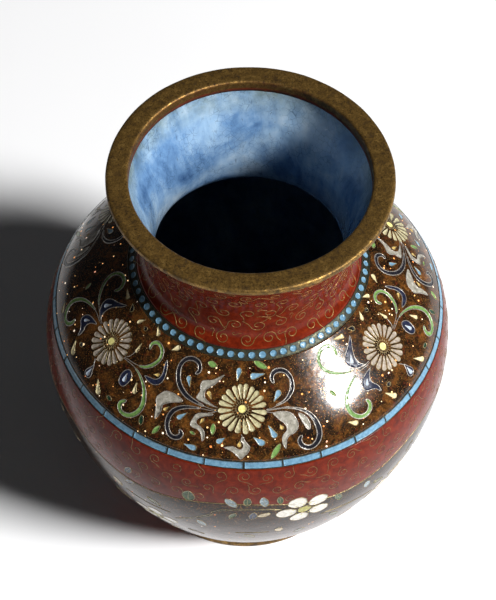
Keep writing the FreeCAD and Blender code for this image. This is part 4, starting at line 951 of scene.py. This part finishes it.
for bagname, obname, mat, node in (
        ("petals_cream", "chrysanthemum_petals_cream", M_CREAM, "chrysanthemum_petals_cream"), ("petals_lilac", "chrysanthemum_petals_lilac", M_LILAC, "chrysanthemum_petals_lilac"),
        ("centres", "chrysanthemum_centres", M_YELLOW, "chrysanthemum_centres"), ("dark", "dark_scrolls", M_DARK, "dark_scrolls"), ("green_scroll", "green_scrolls", M_GREEN, "green_scrolls"),
        ("white", "white_leaves", M_WHITE, "white_leaves"), ("gold", "gold_drops", M_GOLD, "gold_drops"), ("turquoise", "turquoise_drops", M_TEAR, "turquoise_drops"),
        ("green", "green_leaves", M_GREEN, "green_leaves"), ("navy", "navy_leaves", M_NAVY, "navy_leaves"), ("cream", "cream_drops", M_DROP, "cream_drops"),
        ("black", "black_drops", M_BLACK, "black_drops"), ("deep", "deep_green_leaves", M_DEEP, "deep_green_leaves"), ("pale", "pale_leaf_cores", M_PALE, "pale_leaf_cores")):
    stand_in(cells[bagname].make(obname, mat), node)
stand_in(w_scroll.make("scroll_wires", M_SILVER), "scroll_wires")
stand_in(w_fine.make("petal_wires", M_WIRE))
stand_in(w_gold.make("leaf_and_drop_wires", M_WIRE))

# ---------------------------------------------------------------- small wire scrolls on the red bands
def curl(deg, s, r, turn, flip, tail, turns=1.25):
    ref = radius_at(s)
    pts = []
    n = 13
    for i in range(n):
        t = i / (n - 1)
        a = math.radians(turn + flip * 360.0 * turns * t)
        rad = r * (0.20 + 0.80 * t ** 0.85)
        pts.append((rad * math.cos(a), rad * math.sin(a)))
    (x0, y0), (x1, y1) = pts[-2], pts[-1]
    k = math.hypot(x1 - x0, y1 - y0)
    tx, ty = (x1 - x0) / k, (y1 - y0) / k
    for j in (1, 2, 3):
        u = j / 3
        pts.append((x1 + tx * tail * u - flip * ty * -0.25 * tail * u * u, y1 + ty * tail * u + flip * tx * -0.25 * tail * u * u))
    return [(deg + math.degrees(x / ref), s + y) for x, y in pts]


neck_bag, belly_bag, foot_bag = Bag(), Bag(), Bag()
CURLS = [0, 0, 0]
for row in range(6):
    s0 = -2.9 - 3.85 * row
    count = 30 if row < 5 else 34
    for k in range(count):
        deg = 360.0 * (k + 0.5 * (row % 2)) / count + rng.uniform(-0.8, 0.8)
        flip = 1 if (k + row) % 2 else -1
        r = 1.42 * rng.uniform(0.9, 1.08)
        CURLS[0] += 1
        if row == 0:
            r = min(r, 1.4)
        wire(neck_bag, curl(deg, s0 + rng.uniform(-0.25, 0.25), r, rng.uniform(0, 360), flip, rng.uniform(1.1, 2.0), rng.uniform(1.15, 1.45)), width=0.15, lift=0.04, closed=False, fine=3, taper=0.6)
        if rng.uniform() < 0.45:
            a = rng.uniform(0, 360)
            CURLS[1] += 1
            wire(neck_bag, curl(deg + 5.8, s0 + rng.uniform(-1.6, -1.0), 0.5, a, -flip, 1.0, 0.7), width=0.12, lift=0.04, closed=False, fine=3, taper=0.6)
for row in range(3):
    s0 = 23.6 + 3.5 * row
    count = 58
    for k in range(count):
        deg = 360.0 * (k + 0.5 * (row % 2)) / count + rng.uniform(-0.5, 0.5)
        flip = 1 if (k + row) % 2 else -1
        r = 1.32 * rng.uniform(0.88, 1.08)
        sc = s0 + rng.uniform(-0.3, 0.3)
        if sc + r > float(edge_arc(deg)) - 0.5:
            continue
        CURLS[2] += 1
        wire(belly_bag, curl(deg, sc, r, rng.uniform(0, 360), flip, rng.uniform(0.9, 1.7), rng.uniform(1.1, 1.4)), width=0.12, lift=0.035, closed=False, fine=3, taper=0.6)
for k in range(44):
    deg = 360.0 * k / 44 + rng.uniform(-0.5, 0.5)
    for s0 in (73.2, 77.0):
        wire(foot_bag, curl(deg + (s0 - 73) * 1.1, s0, 1.15, rng.uniform(0, 360), 1 if k % 2 else -1, 0.8, 1.15), width=0.13, lift=0.04, closed=False, fine=3, taper=0.6)
stand_in(neck_bag.make("neck_scroll_wires", M_CURL), "neck_scroll_wires")
stand_in(belly_bag.make("belly_scroll_wires", M_CURL2), "belly_scroll_wires")
stand_in(foot_bag.make("foot_scroll_wires", M_CURL2))

# ---------------------------------------------------------------- frieze: blossom sprays
F = {k: Bag() for k in ("petals", "centres", "buds", "stems", "green", "grey", "navy", "stamens")}
fw, fg = Bag(), Bag()


def local(deg, s, pts):
    ref = radius_at(s)
    return [(deg + math.degrees(x / ref), s + y) for x, y in pts]


for turn in SPRAY_ANGLES:
    for deg, s, size, tilt in BLOSSOMS:
        for k in range(5):
            a = math.radians(72 * k + tilt + 18)
            x, y = 3.55 * size * math.cos(a), 3.75 * size * math.sin(a)
            ang = math.degrees(a)
            ux, uy = math.cos(a), math.sin(a)
            o = []
            for i in range(14):
                b = 2 * math.pi * i / 14
                px = 2.02 * size * math.cos(b)
                py = 1.92 * size * math.sin(b) * (1.0 if px > 0 else 0.93)
                o.append((x + px * ux - py * uy, y + px * uy + py * ux))
            q = local(deg + turn, s, o)
            patch(F["petals"], q, lift=0.02, dome=0.03, cell=0.42, fine=3)
            wire(fw, q, width=0.15, lift=0.05, fine=3)
            v = [(x * 0.55 + 0.0, y * 0.55), (x * 0.86, y * 0.86)]
        q = local(deg + turn, s, [(1.32 * size * math.cos(i * math.pi / 6) * (1.0 + 0.10 * math.cos(5 * i * math.pi / 6)), 1.32 * size * math.sin(i * math.pi / 6)) for i in range(12)])
        patch(F["centres"], q, lift=0.03, dome=0.05, cell=0.36, fine=2)
        wire(fg, q, width=0.13, lift=0.05, fine=2)
        for i in range(11):
            b = 2 * math.pi * i / 11
            p0, p1 = 1.45 * size, (2.35 + 0.35 * (i % 2)) * size
            wire(fg, local(deg + turn, s, [(p0 * math.cos(b), p0 * math.sin(b)), (0.5 * (p0 + p1) * math.cos(b + 0.04), 0.5 * (p0 + p1) * math.sin(b + 0.04)), (p1 * math.cos(b), p1 * math.sin(b))]), width=0.09, lift=0.06, closed=False, fine=2, taper=0.7)
            patch(F["stamens"], local(deg + turn, s, [(p1 * math.cos(b) + 0.14 * math.cos(j), p1 * math.sin(b) + 0.14 * math.sin(j)) for j in np.arange(0, 6.28, 1.05)]), lift=0.07, cell=0.3, fine=2)
    for deg, s, size, tilt in BUDS:
        q = local(deg + turn, s, leaf(0, 0, 1.3 * size, 0.75 * size, tilt))
        patch(F["buds"], q, lift=0.02, dome=0.03, cell=0.4)
        wire(fw, q, width=0.12, lift=0.05)
    for deg, s, hl, hw, tilt, colour in LEAVES:
        q = local(deg + turn, s, leaf(0, 0, hl, hw, tilt))
        patch(F[colour], q, lift=0.02, dome=0.02, cell=0.42)
        wire(fw if colour == "grey" else fg, q, width=0.12, lift=0.05)
        ca, sa = math.cos(math.radians(tilt)), math.sin(math.radians(tilt))
        wire(fg, local(deg + turn, s, [(-0.85 * hl * ca, -0.85 * hl * sa), (-0.05 * hw * sa, 0.05 * hw * ca), (0.85 * hl * ca, 0.85 * hl * sa)]), width=0.12, lift=0.05, closed=False, fine=3, taper=0.5)
    for stem in STEMS:
        ref, d0 = radius_at(stem[0][1]), stem[0][0]
        pts = smooth_line([(math.radians(d - d0) * ref, a, w) for d, a, w in stem], 4)
        q = [(d0 + turn + math.degrees(x / ref), y) for x, y in ribbon([tuple(p) for p in pts])]
        patch(F["stems"], q, lift=0.02, cell=0.4, smoothed=False)
        wire(fg, q, width=0.10, lift=0.045, smoothed=False)
hoop(fg, lambda d: edge_arc(d), 0.2)
for key, obname, mat, node in (("petals", "blossom_petals", M_BLOSSOM, "blossom_petals"), ("centres", "blossom_centres", M_BLOOMC, "blossom_centres"), ("buds", "blossom_buds", M_BUD, "blossom_buds"),
                               ("stems", "blossom_stems", M_STEM, "blossom_stems"), ("green", "frieze_leaves_green", M_LGREEN, "frieze_leaves_green"),
                               ("grey", "frieze_leaves_grey", M_LGREY, "frieze_leaves_grey"), ("navy", "frieze_leaves_navy", M_LNAVY, "frieze_leaves_navy")):
    stand_in(F[key].make(obname, mat), node)
stand_in(F["stamens"].make("blossom_stamens", M_YELLOW))
stand_in(fw.make("frieze_petal_wires", M_WIRE))
stand_in(fg.make("frieze_leaf_wires", M_WIRE))

# ---------------------------------------------------------------- hidden or plain CAD pieces
for n, mat in (("copper_bowl", M_COPPER), ("copper_neck", M_COPPER), ("base_enamel", M_LINING)):
    if n in NODES:
        ob = frame["nodes"][n]
        ob.data.materials.clear()
        ob.data.materials.append(mat)

# ---------------------------------------------------------------- studio
floor_m = Mat("pale_table")
floor_m.to(floor_m.ramp(floor_m.noise(9.0, 3), [(0.3, (0.90, 0.90, 0.905, 1)), (0.7, (0.925, 0.925, 0.93, 1))]), "Base Color")
floor_m.set(Roughness=0.6)
floor_m.bsdf.inputs["Specular IOR Level"].default_value = 0.2
bpy.ops.mesh.primitive_plane_add(size=1.5, location=(0, 0, 0))
floor = bpy.context.object
floor.name = "table"
floor.data.materials.append(floor_m.m)


def area(name, direction, dist, size, power, target=(0, 0, 0.06), color=(1, 1, 1)):
    d = Vector(direction).normalized()
    L = bpy.data.lights.new(name, "AREA")
    L.shape = "RECTANGLE"
    L.size, L.size_y = size
    L.energy = power
    L.color = color
    ob = bpy.data.objects.new(name, L)
    ob.location = Vector(target) + d * dist
    ob.rotation_euler = d.to_track_quat("Z", "Y").to_euler()
    bpy.context.scene.collection.objects.link(ob)
    return ob


KEY = (0.676, -0.360, 0.643)
area("key_softbox", KEY, 1.30, (0.27, 0.23), 33.0)
world = bpy.data.worlds.new("studio")
bpy.context.scene.world = world
world.use_nodes = True
nt = world.node_tree
nt.nodes.clear()
wo = nt.nodes.new("ShaderNodeOutputWorld")
b1 = nt.nodes.new("ShaderNodeBackground")
b2 = nt.nodes.new("ShaderNodeBackground")
mx = nt.nodes.new("ShaderNodeMixShader")
lp = nt.nodes.new("ShaderNodeLightPath")
b1.inputs[0].default_value = (0.92, 0.95, 1.0, 1)
b1.inputs[1].default_value = 0.03
b2.inputs[0].default_value = (0.93, 0.93, 0.935, 1)
b2.inputs[1].default_value = 0.9
nt.links.new(lp.outputs["Is Camera Ray"], mx.inputs[0])
nt.links.new(b1.outputs[0], mx.inputs[1])
nt.links.new(b2.outputs[0], mx.inputs[2])
nt.links.new(mx.outputs[0], wo.inputs[0])

# ---------------------------------------------------------------- camera
UNIT = RIM_R / 1000.0
el, roll = 0.96226, 0.02058
f = Vector((0, math.cos(el), -math.sin(el)))
rt0, up0 = Vector((1, 0, 0)), Vector((0, math.sin(el), math.cos(el)))
rt = math.cos(roll) * rt0 + math.sin(roll) * up0
up = math.cos(roll) * up0 - math.sin(roll) * rt0
C = -(0.01742 * rt + 0.87364 * up + 10.9603 * f) * UNIT + Vector((0, 0, HEIGHT / 1000.0))
cam = bpy.data.cameras.new("camera")
cam.sensor_fit = "AUTO"
cam.sensor_width = 36.0
cam.lens = 95.76
cam.clip_start, cam.clip_end = 0.01, 50.0
cam_ob = bpy.data.objects.new("camera", cam)
cam_ob.matrix_world = Matrix((
    (rt.x, up.x, -f.x, C.x),
    (rt.y, up.y, -f.y, C.y),
    (rt.z, up.z, -f.z, C.z),
    (0, 0, 0, 1)))
bpy.context.scene.collection.objects.link(cam_ob)
bpy.context.scene.camera = cam_ob
bpy.context.scene.view_settings.view_transform = "Standard"

left = sorted(NODES - done)
print("CAD nodes shown as they are:", left, "curls", CURLS)
